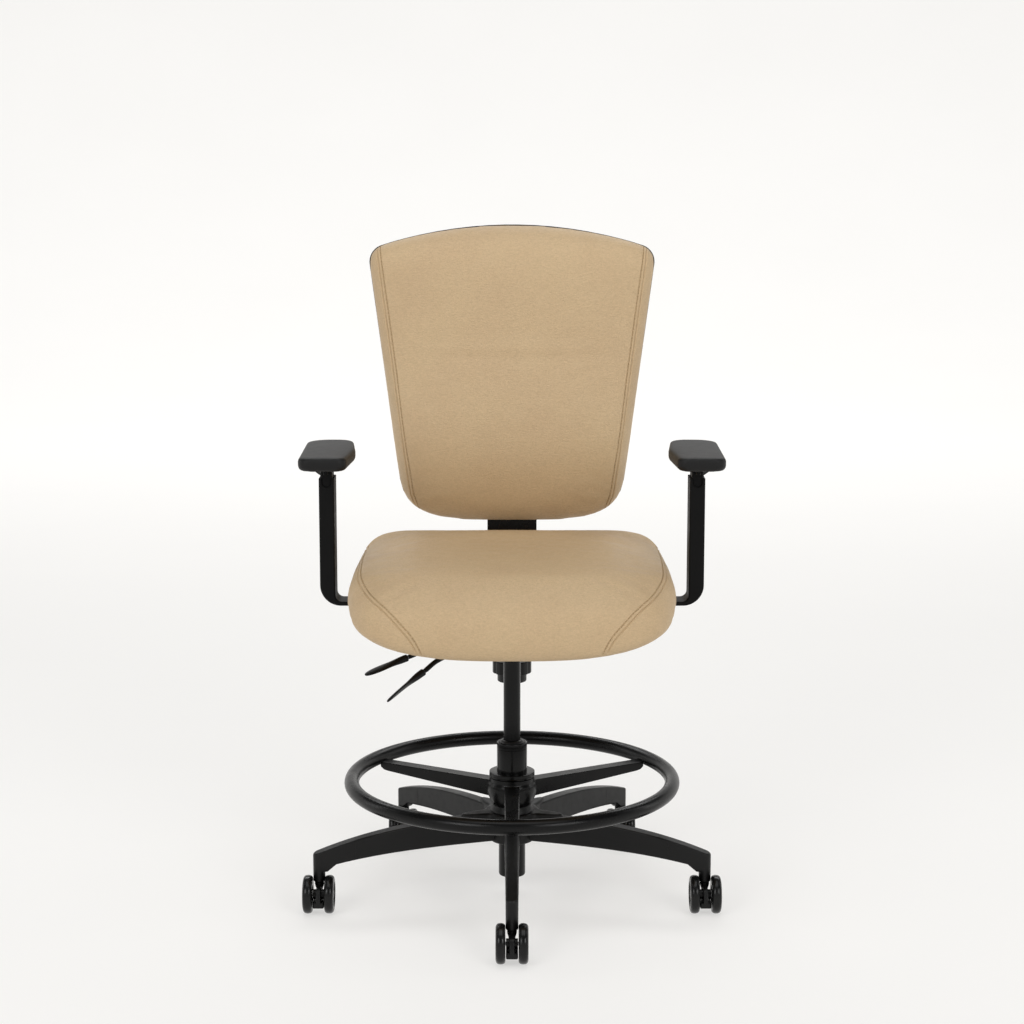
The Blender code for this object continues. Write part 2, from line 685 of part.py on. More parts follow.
def build_foot_ring():
    def ring(bm):
        wall = bmesh.ops.create_circle(bm, cap_ends=True, segments=10, radius=RING_TUBE_R)
        bmesh.ops.transform(bm, verts=wall["verts"],
                            matrix=Matrix.Translation((RING_R, 0, RING_Z))
                            @ Matrix.Rotation(pi / 2, 4, "X"))
        face = bm.faces[:]
        bmesh.ops.spin(bm, geom=face, axis=(0, 0, 1), cent=(0, 0, 0), angle=2 * pi,
                       steps=50, use_merge=True)
        inner = [f for f in bm.faces if len(f.verts) > 4]
        bmesh.ops.delete(bm, geom=inner, context="FACES")
        bmesh.ops.remove_doubles(bm, verts=bm.verts, dist=0.00001)

    add("foot_ring_tube", mesh_from("foot_ring_tube", ring), BLACK_PAINT, ring_axis)

    bore = TUBE_R + FIT + RING_BUSH_WALL + FIT
    hub = turned("foot_ring_hub", (
        (RING_HUB_R - MM, RING_HUB_TOP), (RING_HUB_R, RING_HUB_TOP - MM),
        (RING_HUB_R, RING_HUB_TOP - 7 * MM), (RING_BULB_R - MM, RING_HUB_TOP - 12 * MM),
        (RING_BULB_R, RING_HUB_TOP - 18 * MM), (RING_BULB_R, RING_HUB_TOP - 25 * MM),
        (RING_BULB_R - 3 * MM, RING_HUB_BOTTOM + 10 * MM),
        (BASE_HUB_TOP_R + MM, RING_HUB_BOTTOM), (bore, RING_HUB_BOTTOM),
        (bore, RING_HUB_TOP)), closed=True)
    spider = add("foot_ring_hub", hub, BLACK_PAINT, ring_axis)
    # A spoke's end face stands clear of the ring where its top is level with it.
    rise = SPOKE_TOP - RING_Z
    reach = RING_R - sqrt(RING_TUBE_R**2 - rise**2) - 2 * FIT
    start = (bore + RING_HUB_R) / 2

    def spoke(bm):
        loft(bm, [spoke_section(start, SPOKE_W, SPOKE_ROOT_BOTTOM),
                  spoke_section(reach, SPOKE_END_W, SPOKE_END_BOTTOM)])

    spoke_shape = mesh_from("spoke", spoke)
    for number in range(SPOKE_COUNT):
        angle = -pi / 2 + number * 2 * pi / SPOKE_COUNT
        arm = cutter(f"spoke_{number + 1}", spoke_shape, ring_axis, rotation=(0, 0, angle))
        boolean(spider, arm, "UNION")

    inner = TUBE_R + FIT
    bush = turned("foot_ring_bush", (
        (inner + RING_BUSH_WALL, RING_HUB_TOP), (inner + RING_BUSH_WALL, RING_HUB_BOTTOM),
        (inner, RING_HUB_BOTTOM), (inner, RING_HUB_TOP)), closed=True)
    add("foot_ring_bush", bush, NATURAL_NYLON, ring_axis)
    low = RING_HUB_TOP + FIT
    collar = turned("foot_ring_collar", (
        (COLLAR_R - 1.5 * MM, low + COLLAR_H), (COLLAR_R, low + COLLAR_H - 1.5 * MM),
        (COLLAR_R, low + 2 * MM), (COLLAR_R - 2 * MM, low), (inner, low),
        (inner, low + COLLAR_H)), closed=True)
    add("foot_ring_collar", collar, BLACK_NYLON, ring_axis)


# ---------------------------------------------------------------- mechanism
def housing_side(grow=0.0):
    """Side outline of the mechanism housing: (depth, height)."""
    return filleted((
        (HOUSING_FRONT - grow, HOUSING_BOTTOM + 18 * MM, 6 * MM),
        (HOUSING_FRONT + 20 * MM, HOUSING_BOTTOM - grow, 10 * MM),
        (HOUSING_REAR, HOUSING_BOTTOM - grow, 6 * MM),
        (HOUSING_REAR + grow, HOUSING_REAR_TOP, 0),
        (TILT_PIN_Y + 40 * MM, HOUSING_TOP, 20 * MM), (HOUSING_FRONT - grow, HOUSING_TOP, 0)), 3)


def stood_along_x(mesh):
    """Turns an outline of (depth, height) into the YZ plane, its thickness along X."""
    mesh.transform(Matrix.Rotation(pi / 2, 4, "Z") @ Matrix.Rotation(pi / 2, 4, "X"))
    return mesh


def slot_cutter(name, path, parent):
    """Clears a lever's rod through the housing's side, with room for its stroke."""
    rod = Vector(path[2]) * MM
    side = LEVER_ROD_R + 5 * MM
    lift = 9 * MM
    mesh = box_mesh(name,
                    (-HOUSING_W / 2 - 5 * MM, rod.y - side, rod.z - side),
                    (-HOUSING_W / 2 + 9 * MM, rod.y + side, rod.z + LEVER_ROD_R + lift))
    return cutter(name, mesh, parent)


def build_mechanism():
    box = stood_along_x(cut_from_plate("mechanism_housing", housing_side(), HOUSING_W))
    housing = add("mechanism_housing", box, BLACK_PAINT, mechanism)
    rounded_edges(housing, 2 * MM, angle=60)
    wall = HOUSING_WALL
    room = filleted((
        (HOUSING_FRONT + wall, HOUSING_BOTTOM + 18 * MM, 4 * MM),
        (HOUSING_FRONT + 20 * MM, HOUSING_BOTTOM + wall, 8 * MM),
        (HOUSING_REAR - wall, HOUSING_BOTTOM + wall, 4 * MM),
        (HOUSING_REAR - wall, HOUSING_TOP + 20 * MM, 0),
        (HOUSING_FRONT + wall, HOUSING_TOP + 20 * MM, 0)), 3)
    inside = stood_along_x(cut_from_plate("housing_room", room, HOUSING_W - 2 * wall))
    boolean(housing, cutter("housing_room", inside, mechanism), "DIFFERENCE")
    boss = rod_mesh("taper_boss", TAPER_BOSS_R, HOUSING_BOTTOM - 8 * MM, PISTON_TOP - 2 * MM, ROUND)
    boolean(housing, cutter("taper_boss", boss, mechanism), "UNION")
    bore = turned("taper_bore", (
        (0, PISTON_TOP), (PISTON_TOP_R + FIT, PISTON_TOP),
        (PISTON_R + FIT, PISTON_TAPER_START), (0, PISTON_TAPER_START)))
    boolean(housing, cutter("taper_bore", bore, mechanism), "DIFFERENCE")
    bolt_hole = rod_mesh("knob_bolt_hole", KNOB_BOLT_R + FIT, HOUSING_BOTTOM - 5 * MM,
                         HOUSING_BOTTOM + 8 * MM)
    boolean(housing, cutter("knob_bolt_hole", bolt_hole, mechanism, (0, KNOB_Y, 0)), "DIFFERENCE")
    pin_hole = rod_mesh("tilt_pin_hole", PIN_R + FIT, -HOUSING_W, HOUSING_W)
    place = (0, TILT_PIN_Y, TILT_PIN_Z)
    boolean(housing, cutter("tilt_pin_hole", pin_hole, mechanism, place, (0, pi / 2, 0)),
            "DIFFERENCE")
    boolean(housing, slot_cutter("height_slot", HEIGHT_LEVER, mechanism), "DIFFERENCE")
    boolean(housing, slot_cutter("back_slot", BACK_LEVER, mechanism), "DIFFERENCE")

    half = HOUSING_W / 2 + FIT + PLATE_LUG_T + 3 * MM
    pin = rod_mesh("tilt_pin", PIN_R, -half, half)
    add("tilt_pin", pin, STEEL, mechanism, place, (0, pi / 2, 0))

    step = KNOB_BOTTOM + KNOB_STEP_H
    bolt_top = HOUSING_BOTTOM + 11 * MM
    knob = turned("tension_knob", (
        (0, bolt_top), (KNOB_BOLT_R, bolt_top), (KNOB_BOLT_R, HOUSING_BOTTOM - FIT),
        (KNOB_SHANK_R, HOUSING_BOTTOM - FIT), (KNOB_SHANK_R, step + KNOB_H),
        (KNOB_R - 2 * MM, step + KNOB_H), (KNOB_R, step + KNOB_H - 2 * MM),
        (KNOB_R, step + 1.5 * MM), (KNOB_R - 1.5 * MM, step), (KNOB_SMALL_R, step),
        (KNOB_SMALL_R, KNOB_BOTTOM + 1.5 * MM), (KNOB_SMALL_R - 1.5 * MM, KNOB_BOTTOM),
        (0, KNOB_BOTTOM)), steps=24)
    knob_piece = add("tension_knob", knob, BLACK_NYLON, mechanism, (0, KNOB_Y, 0))
    flute = rod_mesh("knob_flute", 2.4 * MM, step - MM, step + KNOB_H + MM, 8)
    for number in range(KNOB_FLUTES):
        angle = (number + 0.5) * 2 * pi / KNOB_FLUTES
        reach = KNOB_R + 1.2 * MM
        spot = (reach * cos(angle), KNOB_Y + reach * sin(angle), 0)
        boolean(knob_piece, cutter(f"flute_{number + 1}", flute, mechanism, spot), "DIFFERENCE")

    cup_low = bolt_top + FIT
    cup = turned("spring_cup", (
        (0, cup_low + SPRING_CUP_H), (SPRING_R + 4 * MM, cup_low + SPRING_CUP_H),
        (SPRING_R + 4 * MM, cup_low), (0, cup_low)), steps=SMALL_ROUND)
    add("spring_cup", cup, STEEL, mechanism, (0, KNOB_Y, 0))
    low = cup_low + SPRING_CUP_H + SPRING_WIRE_R + FIT
    high = PLATE_TOP - PLATE_T - SPRING_WIRE_R - 2 * FIT
    coil = []
    count = SPRING_TURNS * 12
    for i in range(count + 1):
        angle = 2 * pi * SPRING_TURNS * i / count
        coil.append((SPRING_R * cos(angle), SPRING_R * sin(angle), low + (high - low) * i / count))
    spring = rod_along("tension_spring", coil, SPRING_WIRE_R, 1)
    add("tension_spring", spring, STEEL, mechanism, (0, KNOB_Y, 0))


def paddle_mesh(name, path, pivot, edge_on):
    """A leaf-shaped grip: a round sleeve that flattens to a rounded tip."""
    start, middle, tip = (Vector(p) * MM for p in path)
    along = (tip - start).normalized()
    wide = Vector((0, 0, 1)).cross(along).normalized()
    if edge_on:
        wide = (wide + along.cross(wide) * 0.75).normalized()
    thin = along.cross(wide).normalized()
    sections = []
    stations = (
        (0.0, PADDLE_SLEEVE_R, PADDLE_SLEEVE_R), (0.10, PADDLE_SLEEVE_R, PADDLE_SLEEVE_R),
        (0.30, PADDLE_SLEEVE_R * 1.15, PADDLE_SLEEVE_R * 0.85), (0.50, PADDLE_W * 0.42, PADDLE_T * 0.6),
        (0.72, PADDLE_W * 0.5, PADDLE_T * 0.5), (0.90, PADDLE_W * 0.38, PADDLE_T * 0.45),
        (1.0, PADDLE_W * 0.14, PADDLE_T * 0.3))
    for share, half_w, half_t in stations:
        bow = (middle - (start + tip) / 2) * 4 * share * (1 - share)
        centre = start + (tip - start) * share + bow - pivot
        sections.append([centre + wide * half_w * cos(a) + thin * half_t * sin(a)
                         for a in (i * 2 * pi / 12 for i in range(12))])
    return mesh_from(name, lambda bm: loft(bm, sections))


def build_levers():
    for name, path, grip, edge_on in (
            ("height_lever", HEIGHT_LEVER, HEIGHT_PADDLE, False),
            ("back_lever", BACK_LEVER, BACK_PADDLE, True)):
        pivot = Vector(path[1]) * MM
        axis = empty(name + "_axis", pivot, mechanism)
        rod = rod_along(name + "_rod", [p - pivot for p in smooth_path(path)], LEVER_ROD_R)
        add(name + "_rod", rod, BLACK_PAINT, axis)
        paddle = paddle_mesh(name + "_paddle", grip, pivot, edge_on)
        add(name + "_paddle", paddle, BLACK_NYLON, axis)


# ---------------------------------------------------------------- seat
def build_seat():
    front, rear = PLATE_FRONT, PLATE_REAR
    half = PLATE_W / 2
    neck = UPRIGHT_W / 2 + FIT + PLATE_LUG_T
    outline = filleted((
        (-half, front, 12 * MM), (half, front, 12 * MM), (half, HOUSING_REAR - 8 * MM, 12 * MM),
        (neck, HOUSING_REAR + 12 * MM, 4 * MM), (neck, rear, 4 * MM), (-neck, rear, 4 * MM),
        (-neck, HOUSING_REAR + 12 * MM, 4 * MM), (-half, HOUSING_REAR - 8 * MM, 12 * MM)), 3)
    flat = cut_from_plate("seat_plate", outline, PLATE_T)
    flat.transform(Matrix.Translation((0, 0, PLATE_TOP - PLATE_T / 2)))
    plate = add("seat_plate", flat, BLACK_PAINT, seat)
    top = PLATE_TOP - PLATE_T / 2
    pin_hole = rod_mesh("plate_pin_hole", PIN_R + FIT, -PLATE_W, PLATE_W)
    for label, y, z, inner in (
            ("tilt", TILT_PIN_Y, TILT_PIN_Z, HOUSING_W / 2 + FIT),
            ("hinge", BACK_HINGE_Y, BACK_HINGE_Z, UPRIGHT_W / 2 + FIT)):
        lug_outline = filleted((
            (y - 22 * MM, top, 0), (y - 13 * MM, z - 13 * MM, 12 * MM),
            (y + 13 * MM, z - 13 * MM, 12 * MM), (y + 16 * MM, top, 0)), 4)
        lug = stood_along_x(cut_from_plate(label + "_lug", lug_outline, PLATE_LUG_T))
        for side in (-1, 1):
            offset = (side * (inner + PLATE_LUG_T / 2), 0, 0)
            boolean(plate, cutter(f"{label}_lug_{side}", lug, seat, offset), "UNION")
        hole = cutter(label + "_lug_hole", pin_hole, seat, (0, y, z), (0, pi / 2, 0))
        boolean(plate, hole, "DIFFERENCE")

    pan_low = PLATE_TOP + FIT
    corner = PAN_CORNER
    pan_outline = filleted((
        (-PAN_HALF_W, PAN_FRONT, corner), (PAN_HALF_W, PAN_FRONT, corner),
        (PAN_HALF_W, PAN_REAR, corner), (-PAN_HALF_W, PAN_REAR, corner)), 6)
    pan = cut_from_plate("seat_pan", pan_outline, PAN_T)
    pan_piece = add("seat_pan", pan, PLYWOOD, seat, (0, 0, pan_low + PAN_T / 2))
    rounded_edges(pan_piece, 2 * MM, angle=60)

    cushion_low = pan_low + PAN_T + FIT
    add("seat_cushion", mesh_from("seat_cushion", lambda bm: cushion_loft(bm, cushion_low)),
        TAN_LEATHER, seat)


def cushion_loft(bm, low):
    """The seat cushion: sections across X, from the rear edge to the drooping front lip."""
    sections = []
    stations = [CUSHION_REAR - s * MM for s in (0, 6, 18, 40, 80, 160, 260, 320, 370)]
    stations += [CUSHION_LIP_FRONT + s * MM for s in (0, -8, -26, -46, -60, -67)]
    stations.append(CUSHION_FRONT)
    for y in stations:
        rear = max(0.0, (y - CUSHION_REAR + 60 * MM) / (60 * MM))
        front = max(0.0, (-110 * MM - y) / (-CUSHION_FRONT - 110 * MM))
        taper = 1 - 0.05 * max(0.0, y / CUSHION_REAR) - 0.03 * front
        half = CUSHION_HALF_W * taper * (0.72 + 0.28 * superellipse(rear, 2.2))
        half *= 0.55 + 0.45 * superellipse(front, 2.6)
        nose = superellipse(front, 2.1)
        top = CUSHION_NOSE + (CUSHION_TOP - CUSHION_NOSE) * nose
        top -= 26 * MM * (1 - superellipse(rear, 2.4))
        droop = y < CUSHION_LIP_FRONT - 4 * MM
        bottom = CUSHION_LIP + 30 * MM * (1 - superellipse(front, 4)) if droop else low
        top = max(top, bottom + 24 * MM)
        middle = (top + bottom) / 2
        tall = (top - bottom) / 2
        ring = []
        for i in range(24):
            angle = (i + 0.5) * 2 * pi / 24
            power = 2 / 3.4
            c = cos(angle)
            s = sin(angle)
            x = half * abs(c) ** power * (1 if c > 0 else -1)
            z = middle + tall * abs(s) ** power * (1 if s > 0 else -1)
            ring.append((x, y, z))
        sections.append(ring)
    loft(bm, sections)


# ---------------------------------------------------------------- back
def back_half_width(z):
    """Half the back's width at height z: straight flared sides and rounded ends."""
    half = BACK_LOW_HALF_W + BACK_FLARE * (z - BACK_LOW_Z)
    low = (BACK_BOTTOM + BACK_ROUND_BOTTOM - z) / BACK_ROUND_BOTTOM
    high = (z - BACK_TOP + BACK_ROUND_TOP) / BACK_ROUND_TOP
    if low > 0:
        half *= superellipse(low, 3.6)
    if high > 0:
        half *= superellipse(high, 2.45)
    return half


def back_stations():
    """Heights at which the back is drawn, closer together where its outline turns."""
    shares = (0.004, 0.05, 0.16, 0.33, 0.6)
    low = [BACK_BOTTOM + BACK_ROUND_BOTTOM * s for s in shares]
    high = [BACK_TOP - BACK_ROUND_TOP * s for s in reversed(shares)]
    first = BACK_BOTTOM + BACK_ROUND_BOTTOM
    last = BACK_TOP - BACK_ROUND_TOP
    return low + [first + (last - first) * i / 7 for i in range(8)] + high


def build_back():
    # Upright: a flat bar from the hinge, back under the seat, then up along the lean.
    path = ((BACK_HINGE_Y - 12 * MM, BACK_HINGE_Z, 0), (BACK_HINGE_Y + 16 * MM, BACK_HINGE_Z, 20 * MM),
            (BACK_HINGE_Y + 40 * MM, UPRIGHT_HEEL_Z, 20 * MM),
            (UPRIGHT_HEEL_Y, UPRIGHT_HEEL_Z, UPRIGHT_BEND_R),
            (along_upright(UPRIGHT_TOP_Z), UPRIGHT_TOP_Z, 0))
    half = UPRIGHT_T / 2
    upper = offset_line(path, half)
    lower = offset_line(path, -half)
    bar = cut_from_plate("back_upright", upper + lower[::-1], UPRIGHT_W)
    stood_along_x(bar).transform(Matrix.Translation((0, -BACK_HINGE_Y, -BACK_HINGE_Z)))
    upright = add("back_upright", bar, BLACK_PAINT, recline)
    eye = rod_mesh("hinge_eye", PIN_R + 4.5 * MM, -UPRIGHT_W / 2, UPRIGHT_W / 2)
    boolean(upright, cutter("hinge_eye", eye, recline, rotation=(0, pi / 2, 0)), "UNION")
    hole = rod_mesh("hinge_hole", PIN_R + FIT, -UPRIGHT_W, UPRIGHT_W)
    boolean(upright, cutter("hinge_hole", hole, recline, rotation=(0, pi / 2, 0)), "DIFFERENCE")
    reach = UPRIGHT_W / 2 + FIT + PLATE_LUG_T + 3 * MM
    pin = rod_mesh("back_hinge_pin", PIN_R, -reach, reach)
    add("back_hinge_pin", pin, STEEL, seat, (0, BACK_HINGE_Y, BACK_HINGE_Z), (0, pi / 2, 0))

    # Bracket: a sleeve that slides on the upright. The back's own frame has +Z along it.
    front = -BRACKET_T / 2
    low = up_back(BRACKET_BOTTOM)
    sleeve = box_mesh("back_bracket", (-BRACKET_W / 2, front, low),
                      (BRACKET_W / 2, BRACKET_T / 2, low + BRACKET_H))
    bracket = add("back_bracket", sleeve, BLACK_NYLON, back_slide)
    rounded_edges(bracket, 3 * MM, 2)
    room = box_mesh("bracket_room",
                    (-UPRIGHT_W / 2 - FIT, -half - FIT, low - 20 * MM),
                    (UPRIGHT_W / 2 + FIT, half + FIT, low + BRACKET_H + 20 * MM))
    boolean(bracket, cutter("bracket_room", room, back_slide), "DIFFERENCE")

    shell_rear = front - FIT
    shell_front = shell_rear - SHELL_T
    cushion_rear = shell_front - FIT
    shell = mesh_from("back_shell", lambda bm: back_loft(bm, shell_front, shell_rear, False))
    add("back_shell", shell, BLACK_NYLON, back_slide)
    cushion = mesh_from("back_cushion",
                        lambda bm: back_loft(bm, cushion_rear - BACK_CUSHION_T, cushion_rear, True))
    add("back_cushion", cushion, TAN_LEATHER, back_slide)


def offset_line(path, distance):
    """A bent strip's edge: the path moved sideways, its bends rounded about one centre."""
    points = []
    spots = [Vector(p[:2]) for p in path]
    for i, spot in enumerate(spots):
        into = (spot - spots[i - 1]).normalized() if i else (spots[1] - spot).normalized()
        out = (spots[i + 1] - spot).normalized() if i + 1 < len(spots) else into
        side = (Vector((-into.y, into.x)) + Vector((-out.y, out.x))).normalized()
        stretch = 1 / max(0.2, side.dot(Vector((-into.y, into.x))))
        moved = spot + side * distance * stretch
        turn = into.x * out.y - into.y * out.x
        radius = path[i][2]
        if radius:
            radius -= distance if turn > 0 else -distance
        points.append((moved.x, moved.y, radius))
    rounded = filleted(points, 4)
    return rounded


def back_loft(bm, front, rear, soft):
    """The back's shell or cushion: sections across X, from the bottom edge to the top."""
    sections = []
    for z in back_stations():
        half = back_half_width(z)
        height = up_back(z)
        bulge = 0.0
        inset = 0.0
        if soft:
            bulge = LUMBAR_DEPTH * 2.718281828 ** (-(((z - LUMBAR_Z) / LUMBAR_H) ** 2))
            ends = min(z - BACK_BOTTOM, BACK_TOP - z) / (60 * MM)
            inset = (rear - front) * 0.62 * (1 - superellipse(1 - min(1.0, ends), 2.0))
        face = front - bulge + inset
        corner = min(half * 0.5, (rear - face) * 0.75 if soft else 4 * MM)
        cheek = face + (rear - face) * (0.45 if soft else 0.4)
        sections.append([
            (-half, rear, height), (-half, cheek, height),
            (-half + corner * 0.35, face + (cheek - face) * 0.3, height),
            (-half + corner, face, height), (half - corner, face, height),
            (half - corner * 0.35, face + (cheek - face) * 0.3, height),
            (half, cheek, height), (half, rear, height)])
    loft(bm, sections)


# ---------------------------------------------------------------- arms
def build_arms():
    for label, side in (("right", -1), ("left", 1)):
        build_arm(label, side)


def build_arm(label, side):
    """One arm. Its outlines are drawn for the +X side, and mirrored for the other."""
    outer = ARM_X + ARM_W / 2
    inner = ARM_X - ARM_W / 2
    bar_low = PLATE_TOP - ARM_BAR_T
    outline = filleted((
        (outer * side, ARM_TOP, 0), (inner * side, ARM_TOP, 0),
        (inner * side, PLATE_TOP, ARM_INNER_BEND_R), (ARM_BAR_END_X * side, PLATE_TOP, 0),
        (ARM_BAR_END_X * side, bar_low, 0), (outer * side, bar_low, ARM_BEND_R)), 6)
    post = cut_from_plate(f"arm_upright_{label}", outline, ARM_DEPTH)
    post.transform(Matrix.Rotation(pi / 2, 4, "X"))
    upright = add(f"arm_upright_{label}", post, BLACK_PAINT, seat)
    rounded_edges(upright, 2.5 * MM, 2, 60)
    wall = ARM_WALL
    pocket = box_mesh(f"arm_pocket_{label}",
                      (-ARM_W / 2 + wall, -ARM_DEPTH / 2 + wall, ARM_POCKET_FLOOR),
                      (ARM_W / 2 - wall, ARM_DEPTH / 2 - wall, ARM_TOP + 10 * MM))
    spot = (ARM_X * side, 0, 0)
    boolean(upright, cutter(f"arm_pocket_{label}", pocket, seat, spot), "DIFFERENCE")
    notch = box_mesh(f"arm_notch_{label}",
                     (-ARM_W / 2 + wall + MM, -ARM_DEPTH / 2 - MM, ARM_TOP - 14 * MM),
                     (ARM_W / 2 - wall - MM, -ARM_DEPTH / 2 + 2 * wall, ARM_TOP + 10 * MM))
    boolean(upright, cutter(f"arm_notch_{label}", notch, seat, spot), "DIFFERENCE")

    axis = empty(f"arm_slide_{label}", (ARM_X * side, 0, 0), seat)
    gap = wall + FIT
    stem = box_mesh(f"arm_slider_{label}",
                    (-ARM_W / 2 + gap, -ARM_DEPTH / 2 + gap, SLIDER_BOTTOM),
                    (ARM_W / 2 - gap, ARM_DEPTH / 2 - gap, PAD_BOTTOM - FIT - PAD_PLATE_T / 2))
    slider = add(f"arm_slider_{label}", stem, BLACK_PAINT, axis)
    plate_outline = filleted((
        (-28 * MM, -80 * MM, 12 * MM), (28 * MM, -80 * MM, 12 * MM),
        (28 * MM, 80 * MM, 12 * MM), (-28 * MM, 80 * MM, 12 * MM)), 3)
    plate = cut_from_plate(f"pad_plate_{label}", plate_outline, PAD_PLATE_T)
    boolean(slider, cutter(f"pad_plate_{label}", plate, axis,
                           (0, 0, PAD_BOTTOM - FIT - PAD_PLATE_T / 2)), "UNION")

    pad = mesh_from(f"arm_pad_{label}", lambda bm: pad_loft(bm, side))
    add(f"arm_pad_{label}", pad, PAD_FOAM, axis, (0, 0, PAD_BOTTOM))

    start = side * (ARM_W / 2 - wall)
    hinge = empty(f"arm_tab_axis_{label}", (start, 0, TAB_Z), axis)
    rise = 0.7 * TAB_LENGTH
    tab_outline = ((0.3 * MM * side, -TAB_T / 2), (0.3 * MM * side, TAB_T / 2),
                   (side * TAB_LENGTH, rise + TAB_T / 2), (side * TAB_LENGTH, rise - TAB_T / 2))
    tab = cut_from_plate(f"arm_tab_{label}", [Vector(p) for p in tab_outline], TAB_W)
    tab.transform(Matrix.Rotation(pi / 2, 4, "X"))
    add(f"arm_tab_{label}", tab, BLACK_NYLON, hinge)


def pad_loft(bm, side):
    """An arm pad: a flat top with full edges and an underside that draws in."""
    levels = ((0.0, 7 * MM), (0.22, 2.2 * MM), (0.45, 0.0), (0.75, 0.3 * MM), (0.92, 2 * MM),
              (1.0, 5.5 * MM))
    half_w = PAD_W / 2
    half_l = PAD_LENGTH / 2
    sections = []
    for share, inset in levels:
        x = half_w - inset
        y = half_l - inset
        corner = 20 * MM - inset
        inner = -side
        outline = filleted((
            (inner * (x - 12 * MM), -y, corner), (inner * x, -y * 0.1, 70 * MM),
            (inner * (x - 9 * MM), y, corner), (-inner * (x - 4 * MM), y, corner * 1.3),
            (-inner * x, y * 0.1, 70 * MM), (-inner * (x - 2 * MM), -y, corner * 0.7)), 4)
        sections.append([(p.x, p.y, share * PAD_T) for p in outline])
    loft(bm, sections)


build_base()
build_column()
build_casters()
build_foot_ring()
build_mechanism()
build_levers()
build_seat()
build_back()
build_arms()
print(f"back leans {degrees(BACK_LEAN):.2f} degrees")
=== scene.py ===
# %% [markdown]
# # A drafting-height swivel stool
# The stool has a padded seat and back, two arms whose height adjusts, a gas column, a foot
# ring and a five-star base on twin-wheel casters. Its measured solids are loaded first, as a
# fixed frame. Everything made after that shares the frame's origin and heights, rides on one
# of its moving bodies, and shows what the plain solids leave out: rounded castings, grain,
# seams and stitches.

# %% Load the frame
import json
from math import cos, exp, pi, radians, sin, sqrt

import bmesh
import bpy
from mathutils import Matrix, Vector
from mathutils.bvhtree import BVHTree
from mathutils.kdtree import KDTree


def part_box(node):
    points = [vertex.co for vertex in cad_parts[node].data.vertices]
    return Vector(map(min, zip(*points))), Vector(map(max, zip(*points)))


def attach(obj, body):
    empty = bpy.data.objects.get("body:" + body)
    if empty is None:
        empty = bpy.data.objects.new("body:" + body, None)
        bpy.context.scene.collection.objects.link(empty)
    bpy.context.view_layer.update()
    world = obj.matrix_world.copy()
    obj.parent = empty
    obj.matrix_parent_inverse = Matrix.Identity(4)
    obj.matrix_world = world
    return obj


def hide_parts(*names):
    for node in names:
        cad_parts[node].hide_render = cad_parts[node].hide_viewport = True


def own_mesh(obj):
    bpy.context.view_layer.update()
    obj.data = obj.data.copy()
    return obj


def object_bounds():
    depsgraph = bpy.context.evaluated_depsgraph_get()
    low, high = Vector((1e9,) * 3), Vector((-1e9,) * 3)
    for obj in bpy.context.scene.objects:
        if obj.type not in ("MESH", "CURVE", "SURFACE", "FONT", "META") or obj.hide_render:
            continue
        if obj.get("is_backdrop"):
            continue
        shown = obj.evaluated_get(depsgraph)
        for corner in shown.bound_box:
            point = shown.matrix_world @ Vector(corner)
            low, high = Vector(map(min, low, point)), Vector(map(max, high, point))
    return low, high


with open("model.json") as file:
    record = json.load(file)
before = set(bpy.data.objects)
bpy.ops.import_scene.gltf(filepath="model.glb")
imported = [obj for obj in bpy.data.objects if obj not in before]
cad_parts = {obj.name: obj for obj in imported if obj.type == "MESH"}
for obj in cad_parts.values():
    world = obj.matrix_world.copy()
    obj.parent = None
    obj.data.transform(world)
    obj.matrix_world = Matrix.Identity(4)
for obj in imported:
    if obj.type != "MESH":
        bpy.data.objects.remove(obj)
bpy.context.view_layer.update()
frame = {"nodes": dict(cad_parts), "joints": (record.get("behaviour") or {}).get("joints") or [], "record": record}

MM = 0.001
scene = bpy.context.scene


def middle(node):
    """The centre of a solid's box."""
    low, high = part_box(node)
    return (low + high) / 2


COLUMN = Vector((0, middle("gas_cylinder").y, 0))
print("the column stands at y =", round(COLUMN.y, 4))

# %% [markdown]
# ## Camera
# The stool is seen from straight in front, a little above the seat, through a long lens. A
# long lens keeps the casters and the back close to their true proportions.

# %% Camera
CAMERA_BACK = 3.596
CAMERA_HEIGHT = 1.233
CAMERA_PITCH = radians(9.35)
LENS_MM = 78.5
SENSOR_MM = 36
lens = bpy.data.cameras.new("portrait_lens")
lens.lens = LENS_MM
lens.sensor_width = SENSOR_MM
camera = bpy.data.objects.new("camera", lens)
camera.location = COLUMN + Vector((0, -CAMERA_BACK, CAMERA_HEIGHT))
camera.rotation_euler = (pi / 2 - CAMERA_PITCH, 0, 0)
scene.collection.objects.link(camera)
scene.camera = camera

# %% [markdown]
# ## Floor and light
# The stool stands in a cove of pale paper, lit from behind, that curves up all round, so that
# no corner shows. The cove is one profile turned about the middle. Soft boxes on both sides
# draw the long highlights on the black tubes, and one overhead lights the padding. A pale
# world fills the shadows.

# %% Paper cove
def linear(code):
    """A hex colour as red, green and blue in linear light, with alpha."""
    shares = [int(code[i:i + 2], 16) / 255 for i in (1, 3, 5)]
    return (*[c / 12.92 if c <= 0.04045 else ((c + 0.055) / 1.055) ** 2.4 for c in shares], 1)


def as_mesh(name, bm):
    """A mesh made from a bmesh, which is freed."""
    mesh = bpy.data.meshes.new(name)
    bm.to_mesh(mesh)
    bm.free()
    return mesh


